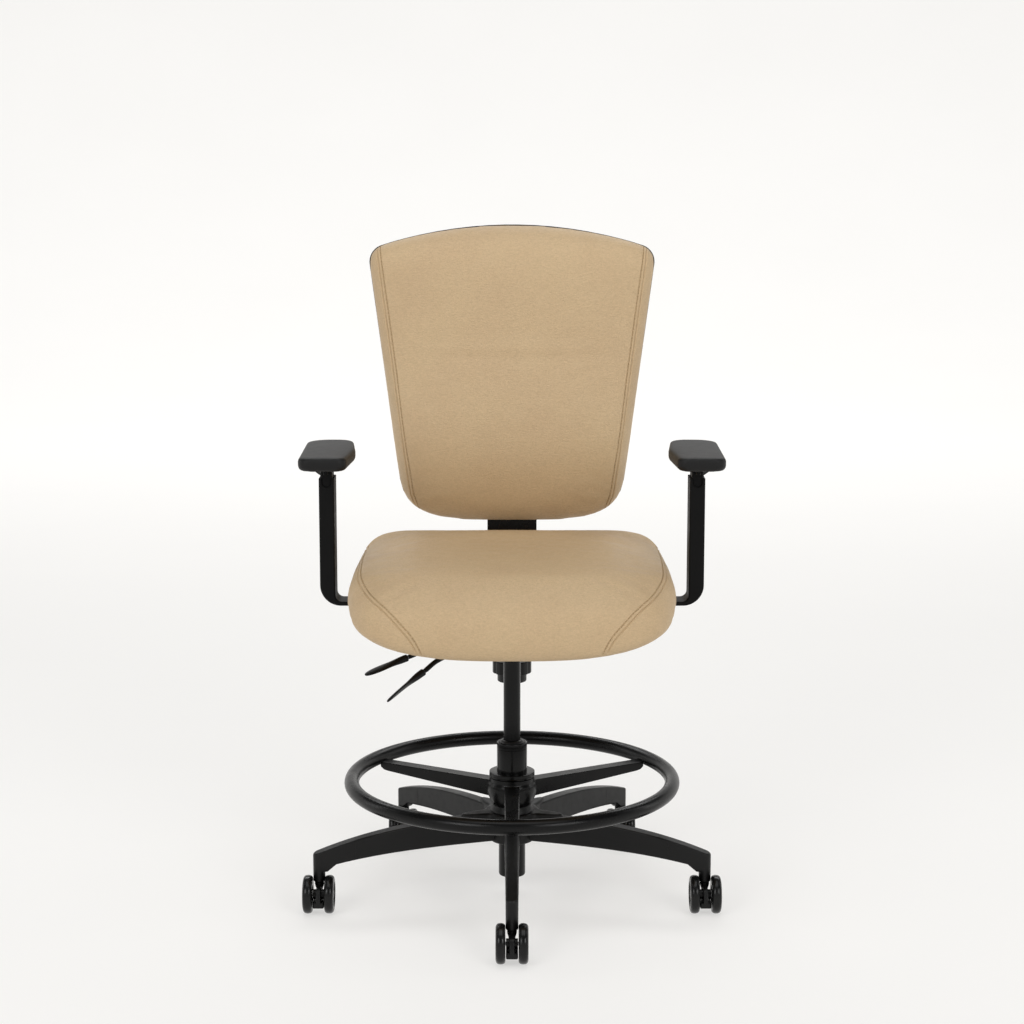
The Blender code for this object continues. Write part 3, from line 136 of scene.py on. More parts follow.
FLOOR_R = 7
COVE_R = 5
COVE_MERGE = 0.0001
cove_bm = bmesh.new()
rim = cove_bm.verts.new((FLOOR_R, 0, 0))
cove_bm.edges.new((cove_bm.verts.new((0, 0, 0)), rim))
bmesh.ops.spin(cove_bm, geom=[rim], cent=(FLOOR_R, 0, COVE_R), axis=(0, -1, 0),
               angle=pi / 2, steps=24)
bmesh.ops.remove_doubles(cove_bm, verts=cove_bm.verts, dist=COVE_MERGE)
bmesh.ops.spin(cove_bm, geom=cove_bm.verts[:] + cove_bm.edges[:], cent=(0, 0, 0),
               axis=(0, 0, 1), angle=2 * pi, steps=128, use_merge=True)
bmesh.ops.remove_doubles(cove_bm, verts=cove_bm.verts, dist=COVE_MERGE)
bmesh.ops.recalc_face_normals(cove_bm, faces=cove_bm.faces)
cove_mesh = as_mesh("paper_cove", cove_bm)
cove_mesh.shade_smooth()
cove = bpy.data.objects.new("paper_cove", cove_mesh)
scene.collection.objects.link(cove)
cove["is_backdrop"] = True
print("paper cove:", len(cove_mesh.polygons), "faces")


# %% Soft boxes and world
def soft_box(name, place, aim, width, height, power):
    """A white area light of that size, turned to face a point."""
    light = bpy.data.lights.new(name, "AREA")
    light.shape = "RECTANGLE"
    light.size = width
    light.size_y = height
    light.energy = power
    holder = bpy.data.objects.new(name, light)
    holder.location = place
    holder.rotation_euler = (Vector(aim) - Vector(place)).to_track_quat("-Z", "Y").to_euler()
    scene.collection.objects.link(holder)


SEAT_AIM = COLUMN + Vector((0, 0, 0.55))
SKY_STRENGTH = 0.12
soft_box("overhead_box", (0, -0.4, 3.4), SEAT_AIM, 2.6, 2.4, 36)
soft_box("left_key", (-2.4, -3.5, 2.6), SEAT_AIM, 1.8, 1.6, 55)
soft_box("right_key", (2.4, -3.5, 2.6), SEAT_AIM, 1.8, 1.6, 55)
soft_box("backdrop_box", (0, 5.7, 5.3), (0, 7.0, 0), 8.0, 3.0, 370)
soft_box("left_strip", (-2.4, 0.6, 1.2), SEAT_AIM, 0.35, 2.0, 5)
soft_box("right_strip", (2.4, 0.6, 1.2), SEAT_AIM, 0.35, 2.0, 5)

world = bpy.data.worlds.new("studio")
scene.world = world
world.use_nodes = True
sky = world.node_tree.nodes["Background"]
sky.inputs["Color"].default_value = linear("#F7F8FA")
sky.inputs["Strength"].default_value = SKY_STRENGTH
scene.view_settings.view_transform = "Standard"

# %% [markdown]
# ## Materials
# Each finish is a small node tree. Patterns read Object coordinates, which are metres here, so
# a pattern's scale is one over its real size. What is too fine to show in a render is drawn
# a little coarser.

# %% Node helper
def add_node(tree, kind, inputs=None, **settings):
    """Adds a node. An input takes a value, or the socket that feeds it."""
    made = tree.nodes.new("ShaderNode" + kind)
    for name, value in settings.items():
        setattr(made, name, value)
    for name, value in (inputs or {}).items():
        if isinstance(value, bpy.types.NodeSocket):
            tree.links.new(value, made.inputs[name])
        else:
            made.inputs[name].default_value = value
    return made


def finish_named(name, **constants):
    """A material with plain values set: (material, tree, shader, Object coordinates)."""
    made = bpy.data.materials.new(name)
    made.use_nodes = True
    tree = made.node_tree
    shader = tree.nodes["Principled BSDF"]
    for key, value in constants.items():
        shader.inputs[key.replace("_", " ")].default_value = value
    place = add_node(tree, "TexCoord").outputs["Object"]
    return made, tree, shader, place


def mottled(tree, place, size, dark, light, detail=3.0):
    """Two colours mixed by a soft noise whose patches have that size in metres."""
    cloud = add_node(tree, "TexNoise", {"Vector": place, "Scale": 1 / size, "Detail": detail})
    share = add_node(tree, "MapRange", {
        "Value": cloud.outputs["Fac"], "From Min": 0.3, "From Max": 0.7})
    # The Mix node's colour sockets are numbers 6 and 7, and its colour result is number 2.
    mixed = add_node(tree, "Mix", {0: share.outputs["Result"], 6: linear(dark), 7: linear(light)},
                     data_type="RGBA")
    return mixed.outputs[2]


def varied(tree, place, size, low, high, detail=3.0):
    """A number that wanders between low and high over patches of that size."""
    cloud = add_node(tree, "TexNoise", {"Vector": place, "Scale": 1 / size, "Detail": detail})
    spread = add_node(tree, "MapRange", {
        "Value": cloud.outputs["Fac"], "From Min": 0.3, "From Max": 0.7,
        "To Min": low, "To Max": high})
    return spread.outputs["Result"]


def bumped(tree, shader, height, depth, strength=1.0, under=None):
    """A bump of that depth in metres on the shader, on top of the bump under it."""
    inputs = {"Height": height, "Distance": depth, "Strength": strength}
    if under is not None:
        inputs["Normal"] = under
    bump = add_node(tree, "Bump", inputs)
    tree.links.new(bump.outputs["Normal"], shader.inputs["Normal"])
    return bump.outputs["Normal"]


# %% [markdown]
# ### Tan upholstery leather
# Corrected-grain leather is pressed with a fine pebble pattern, then sealed with a satin
# finish. The eye sees an even tan with faint cloudy patches, soft highlights, and tiny creases
# where the hide was stretched over foam. The pebbles are about 1 mm across, drawn at 1.9 mm.
# A crease map of stretched noise breaks them up, and darkens the colour in its hollows as painted shade.

# %% Tan leather
def leather(name, dark, light):
    """Hide in two tones, with pebbles and creases, and painted shade in the creases' hollows."""
    made, tree, shader, place = finish_named(name, Roughness=0.56, IOR=1.5)
    patches = mottled(tree, place, 0.11, dark, light)
    pebbles = add_node(tree, "TexVoronoi", {"Vector": place, "Scale": 1 / 0.0019},
                       feature="SMOOTH_F1")
    pores = add_node(tree, "MapRange", {
        "Value": pebbles.outputs["Distance"], "From Min": 0.1, "From Max": 0.75,
        "To Min": 1.04, "To Max": 0.92})
    speck = add_node(tree, "Mix", {0: 1.0, 6: patches, 7: pores.outputs["Result"]},
                     data_type="RGBA", blend_type="MULTIPLY")
    sheen = varied(tree, place, 0.02, 0.50, 0.62)
    tree.links.new(sheen, shader.inputs["Roughness"])
    stretched = add_node(tree, "Mapping", {
        "Vector": place, "Rotation": (0.2, 0.6, 0.3), "Scale": (1, 1.6, 2.6)})
    creases = add_node(tree, "TexNoise", {
        "Vector": stretched.outputs["Vector"], "Scale": 1 / 0.006, "Detail": 4.0,
        "Roughness": 0.62})
    # Painted shade and light: the colour is made darker in the creases' hollows, and a little lighter on their
    # crests.
    crease_shade = add_node(tree, "MapRange", {
        "Value": creases.outputs["Fac"], "From Min": 0.35, "From Max": 0.65,
        "To Min": 0.93, "To Max": 1.04})
    shaded = add_node(tree, "Mix", {0: 1.0, 6: speck.outputs[2], 7: crease_shade.outputs["Result"]},
                      data_type="RGBA", blend_type="MULTIPLY")
    tree.links.new(shaded.outputs[2], shader.inputs["Base Color"])
    soft = bumped(tree, shader, creases.outputs["Fac"], 1.1 * MM, 0.8)
    bumped(tree, shader, pebbles.outputs["Distance"], 0.5 * MM, 0.8, soft)
    return made


TAN_LEATHER = leather("tan_grain_leather", "#C0A580", "#C4AA84")

# %% [markdown]
# ### Sewing thread
# Bonded polyester thread is laid up from three strands, which shows as a slanted rib. It is
# dyed a shade darker than the hide.

# %% Thread
THREAD, tree, shader, place = finish_named("bonded_thread", Roughness=0.62, IOR=1.5)
tree.links.new(mottled(tree, place, 0.004, "#9C8159", "#AD9168"), shader.inputs["Base Color"])
strands = add_node(tree, "TexWave", {"Vector": place, "Scale": 1 / 0.0045, "Distortion": 0.4},
                   bands_direction="DIAGONAL")
bumped(tree, shader, strands.outputs["Fac"], 0.15 * MM, 0.7)

# %% [markdown]
# ### Black powder coat
# Steel tube is dusted with epoxy powder and baked. The film flows out satin and slightly
# wavy, like the peel of an orange, with waves about 2 mm apart.

# %% Powder coat
def powder_coat(name, dark, light, low, high, gloss=0.18):
    """A baked film in two shades, its roughness between low and high."""
    made, tree, shader, place = finish_named(name, IOR=1.55, Specular_IOR_Level=gloss)
    tree.links.new(mottled(tree, place, 0.05, dark, light), shader.inputs["Base Color"])
    tree.links.new(varied(tree, place, 0.03, low, high), shader.inputs["Roughness"])
    peel = add_node(tree, "TexNoise", {"Vector": place, "Scale": 1 / 0.0022, "Detail": 1.5})
    bumped(tree, shader, peel.outputs["Fac"], 0.12 * MM, 0.35)
    return made


POWDER_COAT = powder_coat("black_powder_coat", "#050505", "#080808", 0.24, 0.34)
ARM_COAT = powder_coat("matt_powder_coat", "#050505", "#080808", 0.50, 0.60, 0.12)
COLUMN_COAT = powder_coat("satin_column_coat", "#040404", "#070707", 0.16, 0.24)

# %% [markdown]
# ### Moulded nylon
# The base, caster bodies, bracket, shell and grips are injection-moulded from nylon filled
# with glass fibre. Their moulds are spark eroded, which prints a fine even stipple, so the
# plastic looks a little greyer and flatter than paint. The stipple is about 0.5 mm, drawn at
# 1.3 mm.

# %% Moulded nylon
def moulded(name, dark, light, low, high, stipple, depth):
    """Moulded plastic with a stipple of that size and depth in metres."""
    made, tree, shader, place = finish_named(name, IOR=1.53, Specular_IOR_Level=0.25)
    tree.links.new(mottled(tree, place, 0.07, dark, light), shader.inputs["Base Color"])
    tree.links.new(varied(tree, place, 0.012, low, high), shader.inputs["Roughness"])
    grit = add_node(tree, "TexNoise", {"Vector": place, "Scale": 1 / stipple, "Detail": 3.0,
                                       "Roughness": 0.7})
    bumped(tree, shader, grit.outputs["Fac"], depth, 0.5)
    return made


BLACK_NYLON = moulded("black_moulded_nylon", "#070707", "#0C0C0C", 0.36, 0.46, 0.0013, 0.1 * MM)
WHEEL_NYLON = moulded("polished_wheel_nylon", "#090909", "#0F0F0F", 0.20, 0.30, 0.003, 0.05 * MM)
SHELL_PLASTIC = moulded("textured_shell_plastic", "#0B0B0B", "#111111", 0.46, 0.56, 0.0016,
                        0.18 * MM)
NATURAL_NYLON = moulded("natural_nylon", "#D3CDBB", "#DDD8C8", 0.35, 0.45, 0.0013, 0.06 * MM)

# %% [markdown]
# ### Urethane foam skin
# An arm pad is self-skinned foam: the mould's wall chills the foam into a soft, matt, dark
# grey skin with a leathery pebble.

# %% Urethane skin
PAD_SKIN, tree, shader, place = finish_named("urethane_foam_skin", IOR=1.48,
                                             Specular_IOR_Level=0.32)
tree.links.new(mottled(tree, place, 0.06, "#060606", "#0A0A0A"), shader.inputs["Base Color"])
tree.links.new(varied(tree, place, 0.015, 0.50, 0.53), shader.inputs["Roughness"])
skin = add_node(tree, "TexVoronoi", {"Vector": place, "Scale": 1 / 0.0016}, feature="SMOOTH_F1")
bumped(tree, shader, skin.outputs["Distance"], 0.16 * MM, 0.5)

# %% [markdown]
# ### Steel and plywood
# Pins, axles and the lift rod are ground steel: the grinding leaves fine rings, which spread
# the highlight. The seat pan is lacquered plywood, with its veneer's grain from front to rear.

# %% Steel
GROUND_STEEL, tree, shader, place = finish_named("ground_steel", Metallic=1.0)
tree.links.new(mottled(tree, place, 0.02, "#B9BABC", "#CBCCCE"), shader.inputs["Base Color"])
rings = add_node(tree, "Mapping", {"Vector": place, "Scale": (0.05, 0.05, 1)})
scratches = add_node(tree, "TexNoise", {"Vector": rings.outputs["Vector"], "Scale": 1 / 0.0006,
                                        "Detail": 2.0})
polish = add_node(tree, "MapRange", {"Value": scratches.outputs["Fac"], "To Min": 0.16,
                                     "To Max": 0.36})
tree.links.new(polish.outputs["Result"], shader.inputs["Roughness"])

# %% Plywood
PLYWOOD, tree, shader, place = finish_named("lacquered_plywood", Roughness=0.42, IOR=1.5)
along = add_node(tree, "Mapping", {"Vector": place, "Scale": (1, 0.08, 1)})
grain = add_node(tree, "TexNoise", {"Vector": along.outputs["Vector"], "Scale": 1 / 0.006,
                                    "Detail": 5.0, "Distortion": 0.6})
veneer = add_node(tree, "Mix", {0: grain.outputs["Fac"], 6: linear("#8E6B44"),
                                7: linear("#C9A878")}, data_type="RGBA")
tree.links.new(veneer.outputs[2], shader.inputs["Base Color"])
bumped(tree, shader, grain.outputs["Fac"], 0.08 * MM, 0.5)

# %% Paper
PAPER, tree, shader, place = finish_named(
    "glowing_paper", Roughness=0.9, IOR=1.45, Specular_IOR_Level=0.0,
    Emission_Color=linear("#F7F6F4"), Emission_Strength=0.60)
tree.links.new(mottled(tree, place, 0.8, "#A9A8A6", "#ABAAA8"), shader.inputs["Base Color"])
cove_mesh.materials.append(PAPER)
print("materials:", [m.name for m in bpy.data.materials])

# %% [markdown]
# ## Shaping tools
# Most of the stool is turned, bent or cut from an outline, so four tools do most of the work:
# an outline with rounded corners, a slab extruded from it, a profile turned about Z, and a
# Boolean that joins or cuts two shapes.

# %% Outlines, slabs and turned shapes
def outline(corners, steps=8):
    """Points of a closed outline whose (x, y, radius) corners are rounded by arcs."""
    points = []
    for i, (x, y, radius) in enumerate(corners):
        corner = Vector((x, y))
        if radius == 0:
            points.append(corner)
            continue
        before = (Vector(corners[i - 1][:2]) - corner).normalized()
        after = (Vector(corners[(i + 1) % len(corners)][:2]) - corner).normalized()
        half = before.angle(after) / 2
        centre = corner + (before + after).normalized() * (radius / sin(half))
        start = corner + before * (radius * cos(half) / sin(half)) - centre
        turn = start.angle_signed(corner + after * (radius * cos(half) / sin(half)) - centre)
        for step in range(steps + 1):
            # angle_signed is positive clockwise
            points.append(centre + Matrix.Rotation(-turn * step / steps, 2) @ start)
    return points


def slab(points, thickness):
    """A slab with this outline in XY, its thickness centred on Z = 0."""
    bm = bmesh.new()
    face = bm.faces.new([bm.verts.new((p[0], p[1], -thickness / 2)) for p in points])
    grown = bmesh.ops.extrude_face_region(bm, geom=[face])
    top = [v for v in grown["geom"] if isinstance(v, bmesh.types.BMVert)]
    bmesh.ops.translate(bm, verts=top, vec=(0, 0, thickness))
    bmesh.ops.recalc_face_normals(bm, faces=bm.faces)
    return bm


def turned(profile, steps=96, closed=True):
    """A profile of (radius, height) points turned about Z."""
    bm = bmesh.new()
    spots = [bm.verts.new((r, 0, z)) for r, z in profile]
    lines = [bm.edges.new(pair) for pair in zip(spots, spots[1:])]
    if closed:
        lines.append(bm.edges.new((spots[-1], spots[0])))
    bmesh.ops.spin(bm, geom=spots + lines, cent=(0, 0, 0), axis=(0, 0, 1), angle=2 * pi,
                   steps=steps, use_merge=True)
    bmesh.ops.remove_doubles(bm, verts=bm.verts, dist=0.000005)
    bmesh.ops.dissolve_degenerate(bm, edges=bm.edges, dist=0.000001)
    bmesh.ops.recalc_face_normals(bm, faces=bm.faces)
    return bm


def bevelled(bm, edges, width, segments):
    """Rounds the given edges."""
    bmesh.ops.bevel(bm, geom=edges, offset=width, offset_type="OFFSET", affect="EDGES",
                    segments=segments, profile=0.5, material=-1, clamp_overlap=True)
    return bm


def rounded(bm, width, segments=3, angle=35, chosen=None):
    """Bevels the edges sharper than that angle, or the chosen ones among them."""
    sharp = [e for e in bm.edges if len(e.link_faces) == 2
             and e.calc_face_angle(0) > radians(angle) and (chosen is None or chosen(e))]
    return bevelled(bm, sharp, width, segments)


STAND_ON_X = Matrix.Rotation(pi / 2, 4, "Z") @ Matrix.Rotation(pi / 2, 4, "X")
STAND_ON_Y = Matrix.Rotation(pi / 2, 4, "X")


def placed(bm, *matrices):
    """Moves a shape by each matrix in turn."""
    for matrix in matrices:
        bmesh.ops.transform(bm, verts=bm.verts, matrix=matrix)
    return bm


def moved_to(*place):
    return Matrix.Translation(place)


def across(bm, *place):
    """Lays a shape made about Z along X, then moves it."""
    return placed(bm, Matrix.Rotation(pi / 2, 4, "Y"), moved_to(*place))


def around(count, start=0.0):
    """Angles spaced evenly round a circle."""
    return [start + i * 2 * pi / count for i in range(count)]


def box(low, high):
    """A plain box between two corners."""
    bm = bmesh.new()
    bmesh.ops.create_cube(bm, size=1)
    size = [b - a for a, b in zip(low, high)]
    middle_point = [(a + b) / 2 for a, b in zip(low, high)]
    bmesh.ops.scale(bm, verts=bm.verts, vec=size)
    bmesh.ops.translate(bm, verts=bm.verts, vec=middle_point)
    return bm


def rod(radius, low, high, steps=48):
    """A cylinder about Z."""
    bm = bmesh.new()
    bmesh.ops.create_cone(bm, cap_ends=True, segments=steps, radius1=radius, radius2=radius,
                          depth=high - low, matrix=moved_to(0, 0, (low + high) / 2))
    return bm


# %% Joining, cutting and finishing
def as_object(name, bm):
    """An object in the scene made from a bmesh, which is freed."""
    made = bpy.data.objects.new(name, as_mesh(name, bm))
    scene.collection.objects.link(made)
    return made


def evaluated(holder):
    """A bmesh of an object with its modifiers applied. The object is removed."""
    bpy.context.view_layer.update()
    graph = bpy.context.evaluated_depsgraph_get()
    mesh = bpy.data.meshes.new_from_object(holder.evaluated_get(graph))
    bm = bmesh.new()
    bm.from_mesh(mesh)
    bpy.data.meshes.remove(mesh)
    bpy.data.objects.remove(holder, do_unlink=True)
    return bm


def combined(first, operation, *others):
    """Joins (UNION) or cuts (DIFFERENCE) the first shape with each of the others."""
    base = as_object("first_shape", first)
    helpers = [as_object("other_shape", other) for other in others]
    for helper in helpers:
        step = base.modifiers.new("step", "BOOLEAN")
        step.object = helper
        step.operation = operation
        step.solver = "EXACT"
    bm = evaluated(base)
    for helper in helpers:
        bpy.data.objects.remove(helper, do_unlink=True)
    return bm


def piece(name, bm, look, body, stands_for=(), sharp=38):
    """Finishes a shape as one named piece that rides on a body."""
    bmesh.ops.remove_doubles(bm, verts=bm.verts, dist=0.000002)
    bmesh.ops.recalc_face_normals(bm, faces=bm.faces)
    made = as_object(name, bm)
    made.data.materials.clear()
    made.data.materials.append(look)
    for polygon in made.data.polygons:
        polygon.material_index = 0
    made.data.shade_smooth()
    made.data.set_sharp_from_angle(angle=radians(sharp))
    even = made.modifiers.new("even_shading", "WEIGHTED_NORMAL")
    even.keep_sharp = True
    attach(made, body)
    if stands_for:
        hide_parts(*stands_for)
    print(f"{name}: {len(made.data.polygons)} faces on {body}")
    return made


# %% [markdown]
# ## Five-star base
# The base is one nylon moulding: a hub with a tapered hole for the column, five arched legs,
# and a thin web that fills the crook between each pair. A leg is the overlap of two slabs:
# one cut to its arched side view, the other to its tapered plan with a round end. Their
# shared solid has both outlines, and then its edges are rounded as a mould's are.

# %% Leg
STEM_CIRCLE = 0.330
LEG_START = 0.016
LEG_END_R = 0.0098
LEG_END_BOTTOM = 0.065
LEG_ROOT_HALF_W = 0.0125


def leg_top(r):
    """Height of a leg's top at that distance from the column."""
    return 0.135 - 0.040 * (r / 0.341) ** 2.8


def leg_under(r):
    """Height of a leg's lower edge there."""
    return 0.090 - 0.019 * (r / STEM_CIRCLE) ** 3.4


def leg_shape():
    reach = STEM_CIRCLE + LEG_END_R
    stations = [LEG_START + (reach + 0.001 - LEG_START) * i / 26 for i in range(27)]
    side = [(r, leg_top(r)) for r in stations]
    side += [(reach + 0.001, LEG_END_BOTTOM), (STEM_CIRCLE - 0.012, LEG_END_BOTTOM)]
    side += [(r, leg_under(r)) for r in reversed(stations) if r < STEM_CIRCLE - 0.02]
    profile = placed(slab(side, 0.06), STAND_ON_Y)
    plan = [(LEG_START, -LEG_ROOT_HALF_W)]
    for step in range(17):
        angle = -pi / 2 + pi * step / 16
        plan.append((STEM_CIRCLE + LEG_END_R * cos(angle), LEG_END_R * sin(angle)))
    plan.append((LEG_START, LEG_ROOT_HALF_W))
    tall = placed(slab(plan, 0.4), moved_to(0, 0, 0.1))
    leg = combined(profile, "INTERSECT", tall)
    bmesh.ops.dissolve_limit(leg, angle_limit=radians(0.5), verts=leg.verts, edges=leg.edges)
    return rounded(leg, 0.0028, 3, 40)


# %% [markdown]
# A solid nylon leg would shrink and sink as it cooled, so the real one is hollow underneath,
# with cross ribs. The hollow is a tapered slab cut out of the underside, and thin boxes are
# put back as ribs.

# %% Hollow underside
HOLLOW_START = 0.045
HOLLOW_END = 0.300
RIB_PLACES = (0.095, 0.140, 0.185, 0.230, 0.270)
RIB_HALF_T = 0.0012
RIB_HALF_W = 0.0105


def hollow_shape():
    wall = 0.003
    stations = [HOLLOW_START + (HOLLOW_END - HOLLOW_START) * i / 16 for i in range(17)]
    side = [(r, leg_top(r) - 0.006) for r in stations]
    side += [(r, 0.050) for r in reversed(stations)]
    profile = placed(slab(side, 0.06), STAND_ON_Y)
    plan = [(HOLLOW_START, -0.0122 + wall), (HOLLOW_END, -0.0102 + wall),
            (HOLLOW_END, 0.0102 - wall), (HOLLOW_START, 0.0122 - wall)]
    return combined(profile, "INTERSECT", placed(slab(plan, 0.4), moved_to(0, 0, 0.1)))


def ribs_shape():
    bm = bmesh.new()
    for r in RIB_PLACES:
        rib = as_mesh("rib", box((r - RIB_HALF_T, -RIB_HALF_W, leg_under(r) + 0.003),
                                 (r + RIB_HALF_T, RIB_HALF_W, leg_top(r) - 0.004)))
        bm.from_mesh(rib)
        bpy.data.meshes.remove(rib)
    return bm


# %% Star
def about_column(bm, angle=0.0, offset=(0, 0, 0)):
    """Turns a shape made along +X about the column, and puts it on the column's axis."""
    return placed(bm, moved_to(*offset), Matrix.Rotation(angle, 4, "Z"), moved_to(*COLUMN))


LEG_ANGLES = around(5, -pi / 2)
web_outline = []
for angle in around(120):
    near = abs(cos((angle + pi / 2) * 2.5)) ** 7
    reach = 0.046 + 0.044 * near
    web_outline.append((reach * cos(angle), reach * sin(angle)))
web = rounded(placed(slab(web_outline, 0.026), moved_to(0, 0, 0.126)), 0.006, 5, 60)
hub = turned([(0, 0.150), (0.0295, 0.150), (0.0310, 0.1495), (0.0320, 0.1483), (0.0345, 0.1425),
              (0.0362, 0.1390), (0.0370, 0.1350), (0.0370, 0.0900), (0.0366, 0.0882),
              (0.0355, 0.0872), (0.0340, 0.0870), (0, 0.0870)], 96, closed=False)
star = combined(placed(hub, moved_to(*COLUMN)), "UNION", placed(web, moved_to(*COLUMN)))
star = combined(star, "UNION", *[about_column(leg_shape(), a) for a in LEG_ANGLES])
star = combined(star, "DIFFERENCE", *[about_column(hollow_shape(), a) for a in LEG_ANGLES])
star = combined(star, "UNION", *[about_column(ribs_shape(), a) for a in LEG_ANGLES])
post_profile = [(0, 0.088), (LEG_END_R, 0.088), (LEG_END_R, 0.0505), (0.0094, 0.0494),
                (0.0084, 0.049), (0, 0.049)]
star = combined(star, "UNION", *[
    about_column(turned(post_profile, 48, closed=False), a, (STEM_CIRCLE, 0, 0))
    for a in LEG_ANGLES])
bore = turned([(0, 0.170), (0.0253, 0.170), (0.0253, 0.150), (0.0225, 0.087), (0.0225, 0.070),
               (0, 0.070)], 96, closed=False)
star = combined(star, "DIFFERENCE", placed(bore, moved_to(*COLUMN)), *[
    about_column(rod(0.0058, 0.040, 0.085, 32), a, (STEM_CIRCLE, 0, 0)) for a in LEG_ANGLES])
piece("five_star_base", star, BLACK_NYLON, "base", ["base_star"])

# %% [markdown]
# ## Twin-wheel casters
# A caster has a nylon body with a steel stem that turns in the leg's end, and two wheels on
# one axle behind the stem. The trail makes it follow. A wheel is one turned profile: a
# rounded tread, a lip, and a dished outer face with a hub cap and low spokes.

# %% Wheel
WHEEL_R = 0.031
AXLE_HOLE_R = 0.0033


def wheel_shape():
    """A wheel turned about Z, its outer face up."""
    profile = [(0, 0.0143), (0.0050, 0.0143), (0.0062, 0.0138), (0.0066, 0.0126),
               (0.0075, 0.0122), (0.0180, 0.0126), (0.0195, 0.0134), (0.0205, 0.0148),
               (0.0215, 0.0150), (0.0252, 0.0150), (0.0275, 0.0143), (0.0296, 0.0128),
               (0.0307, 0.0105), (0.0310, 0.0078), (0.0309, 0.0050), (0.0302, 0.0025),
               (0.0288, 0.0008), (0.0270, 0.0000), (0.0150, 0.0000), (0.0142, 0.0020),
               (0.0070, 0.0020), (0.0062, 0.0000), (AXLE_HOLE_R, 0.0000),
               (AXLE_HOLE_R, 0.0100), (0, 0.0100)]
    bm = turned(profile, 72, closed=False)
    spokes = []
    for angle in around(5):
        arm = rounded(box((0.0060, -0.0012, 0.0115), (0.0188, 0.0012, 0.0136)), 0.0006, 2)
        spokes.append(placed(arm, Matrix.Rotation(angle, 4, "Z")))
    return combined(bm, "UNION", *spokes)


wheel_source = as_mesh("wheel_source", wheel_shape())


def copy_of(mesh):
    bm = bmesh.new()
    bm.from_mesh(mesh)
    return bm


# %% [markdown]
# The body seen from the front is an hourglass: wide where it meets the leg, narrow between
# the wheels, and wide again at the foot that keeps threads out of the axle.

# %% Caster body
CASTER_TRAIL = 0.015


def caster_body_shape():
    side = outline((
        (-0.0058, 0.0438, 0), (0.0058, 0.0438, 0), (0.0270, 0.0418, 0.008),
        (0.0360, 0.0270, 0.008), (0.0320, 0.0130, 0), (-0.0040, 0.0130, 0),
        (-0.0058, 0.0240, 0.004)), 8)
    web_plate = placed(slab(side, 0.0078), STAND_ON_Y, Matrix.Rotation(-pi / 2, 4, "Z"))
    rounded(web_plate, 0.0012, 2, 60)
    top = turned([(0, 0.0478), (0.0068, 0.0478), (0.0075, 0.0471), (0.0075, 0.0440),
                  (0.0068, 0.0405), (0.0055, 0.0370), (0.0048, 0.0300), (0.0048, 0.0160),
                  (0, 0.0160)], 48, closed=False)
    foot = rounded(box((-0.0092, -0.0334, 0.0120), (0.0092, 0.0030, 0.0215)), 0.0022, 3)
    boss = across(rod(0.0080, -0.0092, 0.0092, 40), 0, -CASTER_TRAIL, WHEEL_R)
    return combined(web_plate, "UNION", top, foot, boss)


axle_hole = across(rod(AXLE_HOLE_R, -0.02, 0.02, 32), 0, -CASTER_TRAIL, WHEEL_R)
caster_source = as_mesh("caster_source", combined(caster_body_shape(), "DIFFERENCE", axle_hole))
stem_profile = [(0, 0.0840), (0.0042, 0.0840), (0.0055, 0.0825), (0.0055, 0.0790),
                (0.0048, 0.0784), (0.0048, 0.0760), (0.0055, 0.0754), (0.0055, 0.0480),
                (0, 0.0480)]

for number, angle in enumerate(LEG_ANGLES, 1):
    name = f"caster_{number}"
    stem = COLUMN + Vector((STEM_CIRCLE * cos(angle), STEM_CIRCLE * sin(angle), 0))
    piece(name + "_housing", placed(copy_of(caster_source), moved_to(*stem)), BLACK_NYLON, name,
          [name + "_body"])
    piece(name + "_stem", placed(turned(stem_profile, 40, closed=False), moved_to(*stem)),
          GROUND_STEEL, name, ())
    for side, sign in (("left", 1), ("right", -1)):
        node = f"{name}_wheel_{side}"
        inner_x = stem.x + sign * 0.0101
        to_side = Matrix.Rotation(sign * pi / 2, 4, "Y")
        shape = placed(copy_of(wheel_source), to_side,
                       moved_to(inner_x, stem.y - CASTER_TRAIL, WHEEL_R))
        piece(f"{name}_{side}_roller", shape, WHEEL_NYLON, name + "_wheels", [node])

# %% [markdown]
# ## Gas column
# The outer tube is pressed into the base. The cylinder slides in it, guided by a nylon bush
# at its mouth, and the seat's whole weight hangs on the cylinder's tapered top. Two fine
# grooves near the tube's mouth hold the bush.

# %% Column
def on_column(bm):
    return placed(bm, moved_to(*COLUMN))


tube_profile = [(0.0245, 0.2550), (0.0250, 0.2543), (0.0250, 0.2500), (0.0246, 0.2496),
                (0.0246, 0.2488), (0.0250, 0.2484), (0.0250, 0.2455), (0.0246, 0.2451),
                (0.0246, 0.2443), (0.0250, 0.2439), (0.0250, 0.1500), (0.0222, 0.0870),
                (0.0222, 0.0290), (0.0212, 0.0268), (0.0192, 0.0260), (0.0053, 0.0260),
                (0.0053, 0.0310), (0.0197, 0.0310), (0.0197, 0.0870), (0.0225, 0.1500),
                (0.0225, 0.2550)]
piece("outer_tube", on_column(turned(tube_profile)), COLUMN_COAT, "base", ["column_tube"])
bush_profile = [(0.0150, 0.2590), (0.0168, 0.2586), (0.0182, 0.2575), (0.0190, 0.2562),
                (0.0224, 0.2560), (0.0224, 0.2541), (0.0221, 0.2540), (0.0221, 0.1930),
                (0.0143, 0.1930), (0.0143, 0.2585)]
piece("mouth_bush", on_column(turned(bush_profile)), BLACK_NYLON, "base", ["guide_bush"])
cylinder_profile = [(0.0121, 0.4400), (0.0130, 0.4393), (0.0140, 0.4080), (0.0140, 0.1860),
                    (0.0134, 0.1850), (0.0053, 0.1850), (0.0053, 0.1930), (0.0118, 0.1930),
                    (0.0118, 0.3980), (0.0033, 0.3980), (0.0033, 0.4320), (0.0043, 0.4320),
                    (0.0043, 0.4400)]
